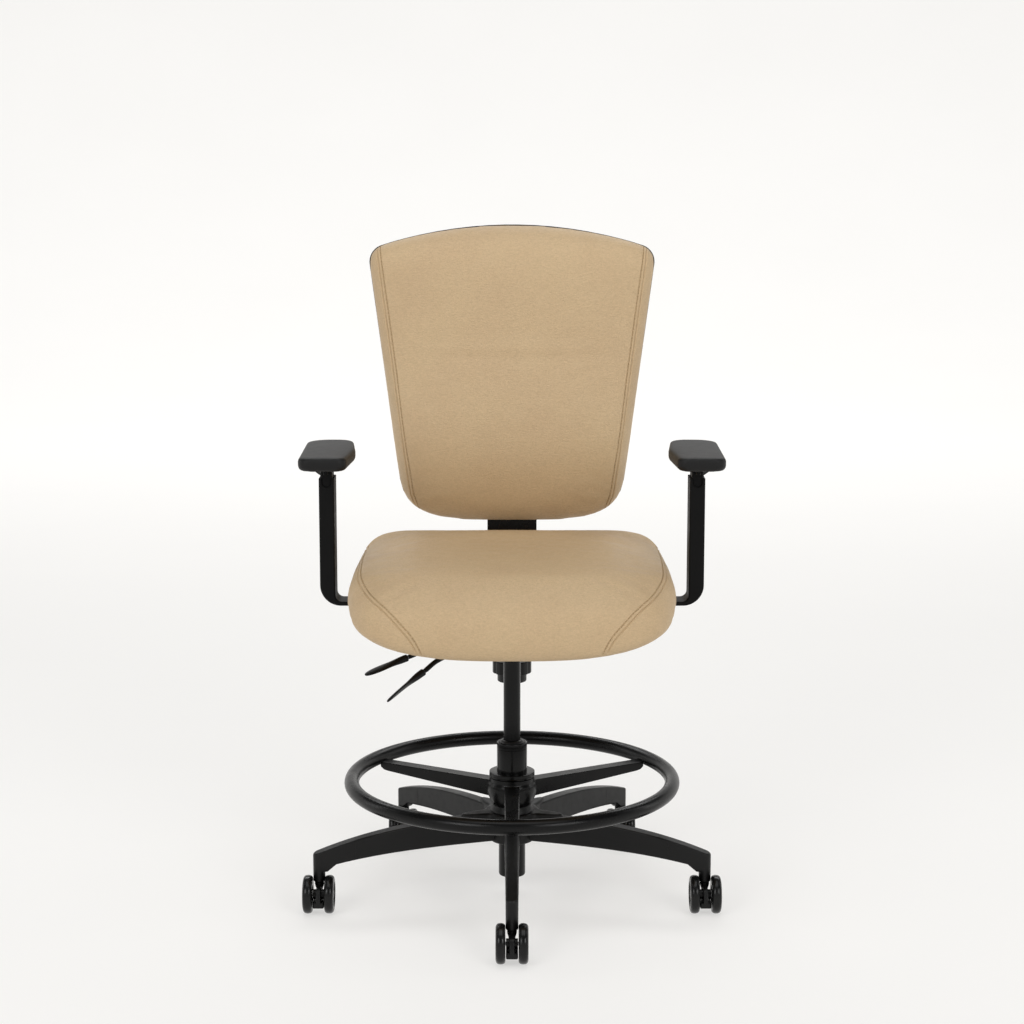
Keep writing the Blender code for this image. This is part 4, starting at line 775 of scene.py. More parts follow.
piece("lift_cylinder", on_column(turned(cylinder_profile)), COLUMN_COAT, "mechanism",
      ["gas_cylinder"])
rod_profile = [(0, 0.2210), (0.0104, 0.2210), (0.0112, 0.2202), (0.0112, 0.2128),
               (0.0104, 0.2120), (0.0050, 0.2120), (0.0050, 0.0200), (0.0044, 0.0192),
               (0, 0.0192)]
rod_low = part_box("lift_rod")[0]
rod_profile = [(r, max(z, rod_low.z)) for r, z in rod_profile]
piece("piston_rod", on_column(turned(rod_profile, 64, closed=False)), GROUND_STEEL, "lift_rod",
      ["lift_rod"])

# %% [markdown]
# ## Foot ring
# The ring is a bent tube, welded shut and held by three forged spokes on a hub that slides on
# the column. Spinning one circle about the column makes the whole ring. The spokes taper
# towards the ring, as the cast ones do, and their top edges are rounded.

# %% Ring tube
RING_R = 0.266
RING_TUBE_R = 0.0122
RING_Z = 0.190
ring_bm = bmesh.new()
bmesh.ops.create_circle(ring_bm, segments=32, radius=RING_TUBE_R)
placed(ring_bm, STAND_ON_Y, moved_to(RING_R, 0, RING_Z))
bmesh.ops.spin(ring_bm, geom=ring_bm.verts[:] + ring_bm.edges[:], cent=(0, 0, 0),
               axis=(0, 0, 1), angle=2 * pi, steps=160, use_merge=True)
bmesh.ops.remove_doubles(ring_bm, verts=ring_bm.verts, dist=0.00001)
piece("ring_tube", on_column(ring_bm), POWDER_COAT, "foot_ring", ["foot_ring_tube"])

# %% Ring hub and spokes
hub_low = 0.1503
hub_profile = [(0.0362, 0.1965), (0.0375, 0.1955), (0.0375, 0.1900), (0.0378, 0.1882),
               (0.0395, 0.1862), (0.0409, 0.1830), (0.0415, 0.1785), (0.0415, 0.1740),
               (0.0409, 0.1690), (0.0393, 0.1640), (0.0372, 0.1590), (0.0348, 0.1545),
               (0.0330, 0.1512), (0.0320, hub_low), (0.0286, hub_low), (0.0286, 0.1965)]
ring_hub = on_column(turned(hub_profile))


def spoke_shape():
    """One spoke along +X, deeper at the hub than at the ring."""
    reach = RING_R - sqrt(RING_TUBE_R ** 2 - 0.003 ** 2) - 0.0003
    side = [(0.033, 0.187), (reach, 0.187), (reach, 0.179), (reach - 0.006, 0.1745),
            (reach - 0.016, 0.1725), (0.033, 0.159)]
    deep = placed(slab(side, 0.04), STAND_ON_Y)
    plan = [(0.033, -0.0125), (reach, -0.011), (reach, 0.011), (0.033, 0.0125)]
    bar = combined(deep, "INTERSECT", placed(slab(plan, 0.2), moved_to(0, 0, 0.18)))
    along = [e for e in bar.edges if abs(e.verts[0].co.x - e.verts[1].co.x) > 0.1]
    return bevelled(bar, along, 0.0042, 5)


SPOKE_ANGLES = around(3, -pi / 2)
ring_hub = combined(ring_hub, "UNION", *[about_column(spoke_shape(), a) for a in SPOKE_ANGLES])
piece("ring_spider", ring_hub, POWDER_COAT, "foot_ring", ["foot_ring_hub"])

# %% Collar and sleeve
collar_profile = [(0.0366, 0.2055), (0.0376, 0.2049), (0.0378, 0.2038), (0.0378, 0.2000),
                  (0.0374, 0.1995), (0.0374, 0.1989), (0.0378, 0.1984), (0.0374, 0.1971),
                  (0.0364, 0.1968), (0.0253, 0.1968), (0.0253, 0.2055)]
piece("clamp_collar", on_column(turned(collar_profile)), COLUMN_COAT, "ring_collar",
      ["foot_ring_collar"])
sleeve_profile = [(0.0283, 0.1964), (0.0283, 0.1504), (0.0253, 0.1504), (0.0253, 0.1964)]
piece("slide_sleeve", on_column(turned(sleeve_profile)), NATURAL_NYLON, "ring_slide",
      ["foot_ring_bush"])

# %% [markdown]
# ## Seat mechanism
# Under the seat is a pressed steel box. The cylinder's taper wedges into its boss, the seat
# plate rocks on a pin through its sides, and a coil spring behind the column pushes back. The
# big knob underneath winds the spring tighter. The box is an outline extruded sideways, and
# its inside is cut out from above.

# %% Housing
HOUSING_HALF_W = 0.058
KNOB_Y = 0.085
TILT_PIN_Y, TILT_PIN_Z = -0.055, 0.458
PIN_HOLE_R = 0.0053
housing_side = outline((
    (-0.105, 0.438, 0.006), (-0.085, 0.420, 0.010), (0.118, 0.420, 0.006), (0.118, 0.446, 0.0),
    (-0.015, 0.472, 0.020), (-0.105, 0.472, 0.004)), 8)
housing = rounded(placed(slab(housing_side, 2 * HOUSING_HALF_W), STAND_ON_X), 0.004, 4, 60)
room_side = outline((
    (-0.102, 0.438, 0.004), (-0.085, 0.423, 0.008), (0.115, 0.423, 0.004), (0.115, 0.500, 0.0),
    (-0.102, 0.500, 0.0)), 6)
room = placed(slab(room_side, 2 * HOUSING_HALF_W - 0.006), STAND_ON_X)
housing = combined(housing, "DIFFERENCE", room)
boss = turned([(0, 0.438), (0.0205, 0.438), (0.021, 0.4375), (0.021, 0.4140), (0.0200, 0.4122),
               (0.0185, 0.4120), (0, 0.4120)], 64, closed=False)
housing = combined(housing, "UNION", boss)
taper = turned([(0, 0.4400), (0.0133, 0.4400), (0.0143, 0.4080), (0, 0.4080)], 64, closed=False)
openings = [
    taper,
    placed(rod(0.0058, 0.41, 0.43), moved_to(0, KNOB_Y, 0)),
    across(rod(PIN_HOLE_R, -0.1, 0.1), 0, TILT_PIN_Y, TILT_PIN_Z),
    rounded(box((-0.0630, -0.0260, 0.4380), (-0.0490, -0.0080, 0.4600)), 0.003, 3),
    rounded(box((-0.0630, -0.0930, 0.4280), (-0.0490, -0.0750, 0.4500)), 0.003, 3)]
housing = combined(housing, "DIFFERENCE", *openings)
piece("mechanism_box", on_column(housing), POWDER_COAT, "mechanism", ["mechanism_housing"])

# %% [markdown]
# The knob has a lobed rim for grip. Its outline is a circle whose radius dips twelve times,
# extruded, rounded, and joined to the plain step below it.

# %% Knob
KNOB_R = 0.033
KNOB_DIP = 0.0016
lobed = []
for angle in around(144):
    dip = max(0.0, cos(angle * 12)) ** 2
    reach = KNOB_R - KNOB_DIP * dip
    lobed.append((reach * cos(angle), reach * sin(angle)))
rim = rounded(placed(slab(lobed, 0.022), moved_to(0, 0, 0.364)), 0.0018, 3, 60)
step_profile = [(0, 0.4190), (0.0140, 0.4190), (0.0140, 0.3750), (0.0240, 0.3750),
                (0.0246, 0.3600), (0.0246, 0.3400), (0.0240, 0.3386), (0.0228, 0.3380),
                (0.0100, 0.3380), (0.0092, 0.3392), (0, 0.3392)]
knob = combined(rim, "UNION", turned(step_profile, 72, closed=False))
piece("spring_knob", on_column(placed(knob, moved_to(0, KNOB_Y, 0))), BLACK_NYLON, "tension_knob",
      ["tension_knob"])

# %% [markdown]
# ## Levers
# A lever is a bent steel rod with a moulded paddle pushed over its end. The rod is a curve
# with a round bevel, made a mesh. The paddle starts as a round sleeve and flattens to a leaf:
# circles are laid along its line, each with its own width and thickness, and bridged.

# %% Smooth lines
def smooth_line(points, per_span=10):
    """Points on a smooth curve (Catmull-Rom) through the given points."""
    knots = [Vector(p) for p in points]
    knots = [2 * knots[0] - knots[1], *knots, 2 * knots[-1] - knots[-2]]
    line = []
    for a, b, c, d in zip(knots, knots[1:], knots[2:], knots[3:]):
        for i in range(per_span):
            t = i / per_span
            bend = (2 * a - 5 * b + 4 * c - d) * t * t + (3 * b - a - 3 * c + d) * t ** 3
            line.append((2 * b + (c - a) * t + bend) / 2)
    line.append(knots[-2])
    return line


def loop_edges(loop):
    """The edges from each point of a closed loop to the next."""
    return [next(e for e in a.link_edges if e.other_vert(a) is b)
            for a, b in zip(loop, loop[1:] + loop[:1])]


def loft(rings):
    """Bridges closed loops of points, one to the next, and closes both ends."""
    bm = bmesh.new()
    loops = []
    for ring in rings:
        circle = bmesh.ops.create_circle(bm, segments=len(ring), radius=1)
        for vert, spot in zip(circle["verts"], ring):
            vert.co = spot
        loops.append(circle["verts"])
    for low, high in zip(loops, loops[1:]):
        bmesh.ops.bridge_loops(bm, edges=loop_edges(low) + loop_edges(high))
    for loop in (loops[0], loops[-1]):
        bmesh.ops.contextual_create(bm, geom=loop_edges(loop))
    bmesh.ops.recalc_face_normals(bm, faces=bm.faces)
    return bm


def bent_rod(line, radius, sides=20):
    """A round rod along the line: a circle at each point, square to the line."""
    rings = []
    for i, spot in enumerate(line):
        ahead = line[min(i + 1, len(line) - 1)] - line[max(i - 1, 0)]
        turn = ahead.to_track_quat("Z", "Y").to_matrix()
        share = 0.86 if i in (0, len(line) - 1) else 1.0
        rings.append([spot + turn @ Vector((radius * share * cos(a), radius * share * sin(a), 0))
                      for a in around(sides)])
    return loft(rings)


# %% Rods and paddles
def paddle_shape(start, middle_point, tip, edge_on):
    """A grip whose stations are (share of its length, half width, half thickness)."""
    along = (tip - start).normalized()
    wide = Vector((0, 0, 1)).cross(along).normalized()
    if edge_on:
        wide = (wide + along.cross(wide) * 0.75).normalized()
    thin = along.cross(wide).normalized()
    stations = (
        (0.00, 0.0050, 0.0050), (0.01, 0.0060, 0.0060), (0.10, 0.0060, 0.0060),
        (0.13, 0.0057, 0.0057), (0.16, 0.0060, 0.0060), (0.30, 0.0071, 0.0050),
        (0.42, 0.0096, 0.0037), (0.52, 0.0118, 0.0031), (0.64, 0.0133, 0.0028),
        (0.76, 0.0134, 0.0026), (0.86, 0.0118, 0.0025), (0.93, 0.0092, 0.0023),
        (0.975, 0.0058, 0.0020), (1.00, 0.0024, 0.0012))
    rings = []
    for share, half_w, half_t in stations:
        bow = (middle_point - (start + tip) / 2) * 4 * share * (1 - share)
        centre = start + (tip - start) * share + bow
        rings.append([centre + wide * half_w * cos(a) + thin * half_t * sin(a)
                      for a in around(24)])
    return loft(rings)


LEVERS = {
    "height": (
        ((3, 0, 450), (-24, -5, 450), (-58, -17, 447), (-112, -43, 434), (-168, -69, 414)),
        ((-169, -69.5, 413.6), (-200, -84, 404), (-236, -101, 392)), False),
    "back": (
        ((-18, -82, 441), (-24, -82, 441), (-58, -84, 437), (-114, -91, 417), (-140, -110, 401)),
        ((-141, -110.7, 400.3), (-168, -130, 383), (-198, -151, 361)), True),
}
for label, (rod_points, grip_points, edge_on) in LEVERS.items():
    line = smooth_line([Vector(p) * MM for p in rod_points])
    piece(label + "_lever_bar", on_column(bent_rod(line, 0.004)), POWDER_COAT,
          label + "_lever", [label + "_lever_rod"])
    grip = paddle_shape(*[Vector(p) * MM for p in grip_points], edge_on)
    made = piece(label + "_lever_grip", on_column(grip), BLACK_NYLON, label + "_lever",
                 [label + "_lever_paddle"])
    smooth = made.modifiers.new("soft_grip", "SUBSURF")
    smooth.levels = 1
    smooth.render_levels = 1

# %% [markdown]
# ## Arms
# Each arm is a rectangular tube that turns under the seat and thins to a flat bar. A stem
# slides inside it and carries the pad. Pressing the small tab at the top frees the stem. The
# tube's front is one outline extruded in depth, with a large outside radius at the bend and a
# smaller one inside.

# %% Arm tube
ARM_X = 0.3005
ARM_HALF_W = 0.0125
ARM_HALF_D = 0.025
ARM_TOP = 0.699
ARM_BAR_END = 0.112
ARM_BAR_LOW, ARM_BAR_HIGH = 0.4893, 0.4963
STEM_TOP = 0.7195
for label, side in (("left", 1), ("right", -1)):
    outer, inner = ARM_X + ARM_HALF_W, ARM_X - ARM_HALF_W
    front_view = outline((
        (outer * side, ARM_TOP, 0), (inner * side, ARM_TOP, 0),
        (inner * side, ARM_BAR_HIGH, 0.011), (ARM_BAR_END * side, ARM_BAR_HIGH, 0),
        (ARM_BAR_END * side, ARM_BAR_LOW, 0), (outer * side, ARM_BAR_LOW, 0.034)), 14)
    tube = rounded(placed(slab(front_view, 2 * ARM_HALF_D), STAND_ON_Y), 0.0030, 4, 40,
                   lambda e: e.verts[0].co.z < 0.6985 or e.verts[1].co.z < 0.6985)
    pocket = rounded(box((ARM_X * side - 0.0095, -0.022, 0.540),
                         (ARM_X * side + 0.0095, 0.022, 0.720)), 0.002, 3, 60)
    notch_outline = outline(((-0.0078, 0.014, 0), (-0.0078, -0.014, 0.0070),
                             (0.0078, -0.014, 0.0070), (0.0078, 0.014, 0)), 8)
    notch = placed(slab(notch_outline, 0.012), STAND_ON_Y,
                   moved_to(ARM_X * side, -ARM_HALF_D, ARM_TOP))
    tube = combined(tube, "DIFFERENCE", pocket, notch)
    piece(f"arm_tube_{label}", on_column(tube), ARM_COAT, "seat", [f"arm_upright_{label}"])
    stem_box = rounded(box((ARM_X * side - 0.0092, -0.0217, 0.562),
                           (ARM_X * side + 0.0092, 0.0217, STEM_TOP)), 0.0025, 3, 60)
    plate_outline = outline(((-0.028, -0.080, 0.012), (0.028, -0.080, 0.012),
                             (0.028, 0.080, 0.012), (-0.028, 0.080, 0.012)), 8)
    plate = rounded(placed(slab(plate_outline, 0.005), moved_to(ARM_X * side, 0, 0.7212)),
                    0.001, 2)
    gusset = rounded(box((ARM_X * side - 0.0035, -0.036, 0.706),
                         (ARM_X * side + 0.0035, 0.036, STEM_TOP)), 0.0012, 2, 60)
    screws = [placed(turned([(0, 0.7187), (0.0022, 0.7187), (0.0026, 0.7176), (0.0044, 0.7170),
                             (0.0049, 0.7180), (0.0049, 0.7192), (0, 0.7192)], 32, closed=False),
                     moved_to(ARM_X * side, depth, 0)) for depth in (-0.060, 0.060)]
    stem_shape = combined(stem_box, "UNION", plate, gusset, *screws)
    piece(f"arm_stem_{label}", on_column(stem_shape), ARM_COAT, f"arm_{label}",
          [f"arm_slider_{label}"])
    tab_start = ARM_HALF_W - 0.003
    tab_outline = outline((
        ((tab_start + 0.0003) * side, -0.0013, 0), ((tab_start + 0.0003) * side, 0.0013, 0),
        ((tab_start + 0.0125) * side, 0.0103, 0.0011),
        ((tab_start + 0.0140) * side, 0.0088, 0.0011)), 6)
    tab = rounded(placed(slab(tab_outline, 0.018), STAND_ON_Y, moved_to(ARM_X * side, 0, 0.703)),
                  0.0007, 2, 40)
    piece(f"release_tab_{label}", on_column(tab), BLACK_NYLON, f"arm_tab_{label}",
          [f"arm_tab_{label}"])

# %% [markdown]
# ## Arm pads
# A pad is foam moulded over a plate. From above its outer edge is almost straight and its
# inner edge bulges towards the sitter. From the front its top is slightly crowned, with a
# soft edge, and its sides draw in towards the bottom. Rings of points, each a plan outline
# drawn in by a little, are bridged from the bottom to the top.

# %% Pad
PAD_PLAN = ((0.0375, -0.119, 0.017), (0.0415, 0.119, 0.036), (-0.0350, 0.119, 0.026),
            (-0.0465, 0.000, 0.150), (-0.0385, -0.119, 0.016))
PAD_LEVELS = ((0.0000, 0.0080), (0.0002, 0.0062), (0.0010, 0.0042), (0.0028, 0.0020),
              (0.0055, 0.0006), (0.0090, 0.0000), (0.0152, 0.0000), (0.0176, 0.0006),
              (0.0194, 0.0019), (0.0206, 0.0038), (0.0213, 0.0064), (0.0217, 0.0110))


def pad_ring(side, shrink):
    """The pad's plan outline, drawn in by shrink. The first corners are the outer ones."""
    corners = [(x - shrink * (1 if x > 0 else -1), y - shrink * (1 if y > 0 else -1),
                radius - shrink * 0.7) for x, y, radius in PAD_PLAN]
    return [(p.x * side, p.y) for p in outline(corners, 14)]


for label, side in (("left", 1), ("right", -1)):
    low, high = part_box(f"arm_pad_{label}")
    centre = Vector((ARM_X * side, (low.y + high.y) / 2, low.z))
    rings = [[centre + Vector((*p, height)) for p in pad_ring(side, shrink)]
             for height, shrink in PAD_LEVELS]
    pad = loft(rings)
    cap = [f for f in pad.faces if len(f.verts) > 4 and f.calc_center_median().z > centre.z + 0.01]
    bmesh.ops.inset_region(pad, faces=cap, thickness=0.008, depth=0.0003)
    made = piece(f"foam_pad_{label}", pad, PAD_SKIN, f"arm_{label}", [f"arm_pad_{label}"],
                 50)

# %% [markdown]
# ## Back support
# A flat steel bar runs from the hinge under the seat, turns up behind it and leans back. A
# moulded bracket slides on the bar to set the back's height, and carries a shell. The back's
# own frame has its origin on the bar's centre line, with one axis along the bar.

# %% The back's own frame
BACK_AXIS = Vector(next(j["axis"] for j in frame["joints"] if j["name"] == "back_height"))
BACK_DEPTH = Vector((0, BACK_AXIS.z, -BACK_AXIS.y))
UPRIGHT_HALF_T = 0.004
upright_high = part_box("back_upright")[1]
upright_top = Vector((0, upright_high.y - UPRIGHT_HALF_T * BACK_AXIS.z,
                      upright_high.z - UPRIGHT_HALF_T * BACK_AXIS.y))
shell_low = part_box("back_shell")[0]
BACK_ORIGIN = upright_top - BACK_AXIS * ((upright_top.z - shell_low.z) / BACK_AXIS.z)
BACK_MATRIX = Matrix((
    (1, 0, 0, 0),
    (0, BACK_DEPTH.y, BACK_AXIS.y, BACK_ORIGIN.y),
    (0, BACK_DEPTH.z, BACK_AXIS.z, BACK_ORIGIN.z),
    (0, 0, 0, 1)))
print("the back's origin:", [round(v, 4) for v in BACK_ORIGIN])

# %% Upright bar
def strip_side(path, half):
    """The closed side outline of a bent strip whose corners are (y, z, radius)."""
    sides = []
    for sign in (1, -1):
        edge = []
        spots = [Vector(p[:2]) for p in path]
        for i, spot in enumerate(spots):
            into = (spot - spots[i - 1]).normalized() if i else (spots[1] - spot).normalized()
            out = (spots[i + 1] - spot).normalized() if i + 1 < len(spots) else into
            normal = Vector((-into.y, into.x))
            way = (normal + Vector((-out.y, out.x))).normalized()
            spot = spot + way * (sign * half / max(0.2, way.dot(normal)))
            radius = path[i][2]
            if radius:
                turn = into.x * out.y - into.y * out.x
                radius -= sign * half * (1 if turn > 0 else -1)
            edge.append((spot.x, spot.y, radius))
        sides.append(edge)
    return outline(sides[0] + sides[1][::-1], 12)


lean = BACK_AXIS.y / BACK_AXIS.z
HEEL_Y, HEEL_Z = 0.245, 0.452
HINGE_Y, HINGE_Z = 0.140, 0.462
bar_path = ((0.128, HINGE_Z, 0), (0.156, HINGE_Z, 0.020), (0.180, HEEL_Z, 0.020),
            (HEEL_Y, HEEL_Z, 0.034), (HEEL_Y + (0.815 - HEEL_Z) * lean, 0.815, 0))
bar = rounded(placed(slab(strip_side(bar_path, UPRIGHT_HALF_T), 0.086), STAND_ON_X), 0.0016, 3, 60)
eye = across(rounded(rod(0.0095, -0.043, 0.043, 40), 0.0008, 2, 60), 0, HINGE_Y, HINGE_Z)
pin_hole = across(rod(PIN_HOLE_R, -0.09, 0.09, 32), 0, HINGE_Y, HINGE_Z)
bar = combined(combined(bar, "UNION", eye), "DIFFERENCE", pin_hole)
piece("upright_bar", on_column(bar), POWDER_COAT, "back_upright", ["back_upright"])

# %% Bracket
BRACKET_HALF_W = 0.0505
BRACKET_H = 0.1295
bracket_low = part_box("back_bracket")[0]
bracket_bottom = (bracket_low.z - BACK_ORIGIN.z) / BACK_AXIS.z + 0.0012
bracket_outline = outline(((-BRACKET_HALF_W, bracket_bottom, 0.010),
                           (BRACKET_HALF_W, bracket_bottom, 0.010),
                           (BRACKET_HALF_W, bracket_bottom + BRACKET_H, 0.016),
                           (-BRACKET_HALF_W, bracket_bottom + BRACKET_H, 0.016)), 8)
bracket = rounded(placed(slab(bracket_outline, 0.026), STAND_ON_Y), 0.003, 4, 60)
channel = box((-0.0433, -0.0043, bracket_bottom - 0.02), (0.0433, 0.0043, bracket_bottom + 0.16))
recess_outline = outline(((-0.036, bracket_bottom + 0.014, 0.008),
                          (0.036, bracket_bottom + 0.014, 0.008),
                          (0.036, bracket_bottom + 0.116, 0.008),
                          (-0.036, bracket_bottom + 0.116, 0.008)), 8)
recess = rounded(placed(slab(recess_outline, 0.004), STAND_ON_Y, moved_to(0, 0.0135, 0)), 0.001, 2)
ridges = [rounded(box((-0.030, 0.0110, bracket_bottom + 0.030 + 0.012 * i),
                      (0.030, 0.0128, bracket_bottom + 0.034 + 0.012 * i)), 0.0008, 2)
          for i in range(6)]
bracket = combined(combined(bracket, "DIFFERENCE", channel, recess), "UNION", *ridges)
piece("height_bracket", placed(bracket, BACK_MATRIX), BLACK_NYLON, "back", ["back_bracket"])

# %% [markdown]
# ## Outer shell
# Behind the back cushion is a thin moulded shell. Its outline has nearly straight sides that
# flare upwards, a shallow arc across the top, tight top corners, and a wide soft curve at the
# bottom. One function gives that outline, drawn in by any margin, so the cushion can follow
# it. A ring between two margins is cut from the rear face, as the groove that frames it.

# %% Back outline
BACK_HEIGHT = (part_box("back_shell")[1].z - shell_low.z) / BACK_AXIS.z
FLARE = 0.1353
LOW_HALF_W = 0.1853
BOTTOM_ROUND = 0.0924
TOP_ARC = 0.69
CORNER_X = 0.2490


def superellipse(share, power):
    """Height of a rounded corner, 1 at share 0 and 0 at share 1."""
    return max(0.0, 1 - min(1.0, share) ** power) ** (1 / power)


def back_outline(margin):
    """The back's outline in its own frame, as (across, up) points."""
    half = []
    for share in (0.9995, 0.995, 0.985, 0.965, 0.93, 0.88, 0.81, 0.72, 0.6, 0.45, 0.25):
        up = BOTTOM_ROUND * (1 - share)
        half.append(((LOW_HALF_W + FLARE * up) * superellipse(share, 3.6), up, 0))
    half.append((LOW_HALF_W + FLARE * BOTTOM_ROUND, BOTTOM_ROUND, 0))
    corner_up = BACK_HEIGHT - TOP_ARC * CORNER_X ** 2
    half.append((CORNER_X, corner_up, 0.030))
    for x in (0.205, 0.185, 0.160, 0.130, 0.100, 0.070, 0.040, 0.012):
        half.append((x, BACK_HEIGHT - TOP_ARC * x * x, 0))
    right = outline([*half, (-half[-1][0], half[-1][1], 0), (-half[0][0], half[0][1], 0)], 12)
    right = right[:-2]
    whole = right + [Vector((-p.x, p.y)) for p in reversed(right)]
    drawn = []
    for i, p in enumerate(whole):
        along = whole[(i + 1) % len(whole)] - whole[i - 1]
        inward = Vector((-along.y, along.x)).normalized()
        drawn.append(p + inward * margin)
    return drawn


# %% Shell
SHELL_REAR = -0.0133
SHELL_FRONT = -0.0243
shell = placed(slab(back_outline(0.0), SHELL_REAR - SHELL_FRONT), STAND_ON_Y,
               moved_to(0, (SHELL_REAR + SHELL_FRONT) / 2, 0))
for depth, width, segments in ((SHELL_REAR, 0.0075, 6), (SHELL_FRONT, 0.0012, 2)):
    edges = [e for e in shell.edges if all(abs(v.co.y - depth) < 1e-5 for v in e.verts)]
    bevelled(shell, edges, width, segments)
GROOVE_DEPTH = 0.0014
groove = combined(slab(back_outline(0.0210), 2 * GROOVE_DEPTH), "DIFFERENCE",
                  slab(back_outline(0.0240), 0.02))
shell = combined(shell, "DIFFERENCE", placed(groove, STAND_ON_Y, moved_to(0, SHELL_REAR, 0)))
piece("moulded_back_shell", placed(shell, BACK_MATRIX), SHELL_PLASTIC, "back", ["back_shell"])

# %% [markdown]
# ## Padding tools
# A cushion is foam in a sewn cover, so it starts as the shape the foam was cut to. That is a
# slab whose points are moved to the foam's own heights. A voxel remesh spreads its points
# evenly, and a short cloth simulation with a little air pressure lets the cover swell between
# its seams. A cap keeps it from swelling more than real foam does.

# %% Remesh, swell and smooth
def remeshed(bm, size):
    """The shape rebuilt from even faces of that size."""
    holder = as_object("voxel_shape", bm)
    step = holder.modifiers.new("voxels", "REMESH")
    step.mode = "VOXEL"
    step.voxel_size = size
    return evaluated(holder)


def subdivided(bm):
    """The shape with each face made four, and smoothed."""
    holder = as_object("fine_shape", bm)
    step = holder.modifiers.new("fine", "SUBSURF")
    step.levels = 1
    step.render_levels = 1
    return evaluated(holder)


def tree_of(points):
    """A search tree that finds the nearest of the points."""
    tree = KDTree(len(points))
    for i, p in enumerate(points):
        tree.insert(p, i)
    tree.balance()
    return tree


def edge_finder(points, spacing=0.001):
    """A tree of closely spaced points along a closed plan outline."""
    dense = []
    for i, p in enumerate(points):
        q = points[(i + 1) % len(points)]
        count = max(1, int((q - p).length / spacing))
        dense += [(*p.lerp(q, k / count), 0) for k in range(count)]
    return tree_of(dense)


CLOTH_FRAMES = 20


def swollen(bm, held, cap, pressure=4.0):
    """The cover after a little air pressure. Points for which held(point) is true stay put."""
    start = [v.co.copy() for v in bm.verts]
    cover = as_object("cover", bm)
    group = cover.vertex_groups.new(name="held")
    group.add([i for i, spot in enumerate(start) if held(spot)], 1.0, "REPLACE")
    cloth = cover.modifiers.new("cloth", "CLOTH")
    settings = cloth.settings
    settings.quality = 4
    settings.use_pressure = True
    settings.uniform_pressure_force = pressure
    settings.effector_weights.gravity = 0
    settings.vertex_group_mass = "held"
    settings.tension_stiffness = 12
    settings.compression_stiffness = 12
    settings.bending_stiffness = 1.5
    cloth.collision_settings.use_collision = False
    cloth.point_cache.frame_start = 1
    cloth.point_cache.frame_end = CLOTH_FRAMES
    for frame_number in range(1, CLOTH_FRAMES + 1):
        scene.frame_set(frame_number)
    result = evaluated(cover)
    scene.frame_set(1)
    result.verts.ensure_lookup_table()
    largest = 0.0
    for vert, rest in zip(result.verts, start):
        move = vert.co - rest
        if move.length > cap:
            move *= cap / move.length
        largest = max(largest, move.length)
        vert.co = rest + move
    print("the cover swelled by up to", round(largest * 1000, 1), "mm")
    return result


def smoothed(bm, times, factor=0.5):
    """Moves each point towards the middle of its neighbours, that many times."""
    for _ in range(times):
        bmesh.ops.smooth_vert(bm, verts=bm.verts, factor=factor, use_axis_x=True,
                              use_axis_y=True, use_axis_z=True)
    return bm


# %% [markdown]
# ### Seams
# A sewn seam pulls the cover into a narrow groove, and the hide stands up a little on both
# sides of it. The faces along the seam's line are made finer, and the points near it are
# moved inwards. A second row of top stitches runs beside the seam to hold its allowance flat,
# and each stitch is a small slug of thread.

# %% Seam line, groove and stitches
def on_surface(bm, points, spacing=0.001):
    """The points laid on the surface, evenly spaced, each with its normal."""
    surface = BVHTree.FromBMesh(bm)
    line = []
    for p in smooth_line(points, 40):
        spot, normal, _, _ = surface.find_nearest(p)
        if not line or (spot - line[-1][0]).length >= spacing:
            line.append((spot, normal))
    return line


def beside(bm, line, offset, inward):
    """The line moved sideways along the surface, to the side that faces the inward point."""
    surface = BVHTree.FromBMesh(bm)
    moved_line = []
    for i, (spot, normal) in enumerate(line):
        ahead = line[min(i + 1, len(line) - 1)][0] - line[max(i - 1, 0)][0]
        sideways = normal.cross(ahead).normalized()
        if sideways.dot(inward - spot) < 0:
            sideways = -sideways
        place, new_normal, _, _ = surface.find_nearest(spot + sideways * offset)
        moved_line.append((place, new_normal))
    return moved_line


def finer_near(bm, line, *reaches):
    """Halves the edges of every face near the line, once for each reach."""
    tree = tree_of([spot for spot, _ in line])
    for reach in reaches:
        near = [e for e in bm.edges
                if tree.find((e.verts[0].co + e.verts[1].co) / 2)[2] < reach]
        bmesh.ops.subdivide_edges(bm, edges=near, cuts=1, use_grid_fill=True)
    return bm


def grooved(bm, line, depth, half_width, ridge=0.0):
    """Pulls the surface in along the line, and lets it stand up beside it."""
    tree = tree_of([spot for spot, _ in line])
    ends = [line[0][0], line[-1][0]]
    bm.normal_update()
    moves = []
    for vert in bm.verts:
        distance = tree.find(vert.co)[2]
        if distance > half_width * 5:
            continue
        fade = min(1.0, min((vert.co - end).length for end in ends) / 0.012)
        sink = depth * exp(-(distance / half_width) ** 2)
        rise = ridge * exp(-((distance - half_width * 2.6) / (half_width * 1.4)) ** 2)
        moves.append((vert, vert.normal * (rise - sink) * fade))
    for vert, move in moves:
        vert.co += move
    return bm


def sewn(cover, seam, inward, depth):
    """Sews a seam and its row of top stitches into the cover. Gives the row's line."""
    top_row = beside(cover, seam, 0.0062, inward)
    finer_near(cover, seam + top_row, 0.006, 0.0032)
    grooved(cover, seam, depth, 0.0011, 0.0003)
    grooved(cover, top_row, 0.0012, 0.0009, 0.0002)
    return top_row


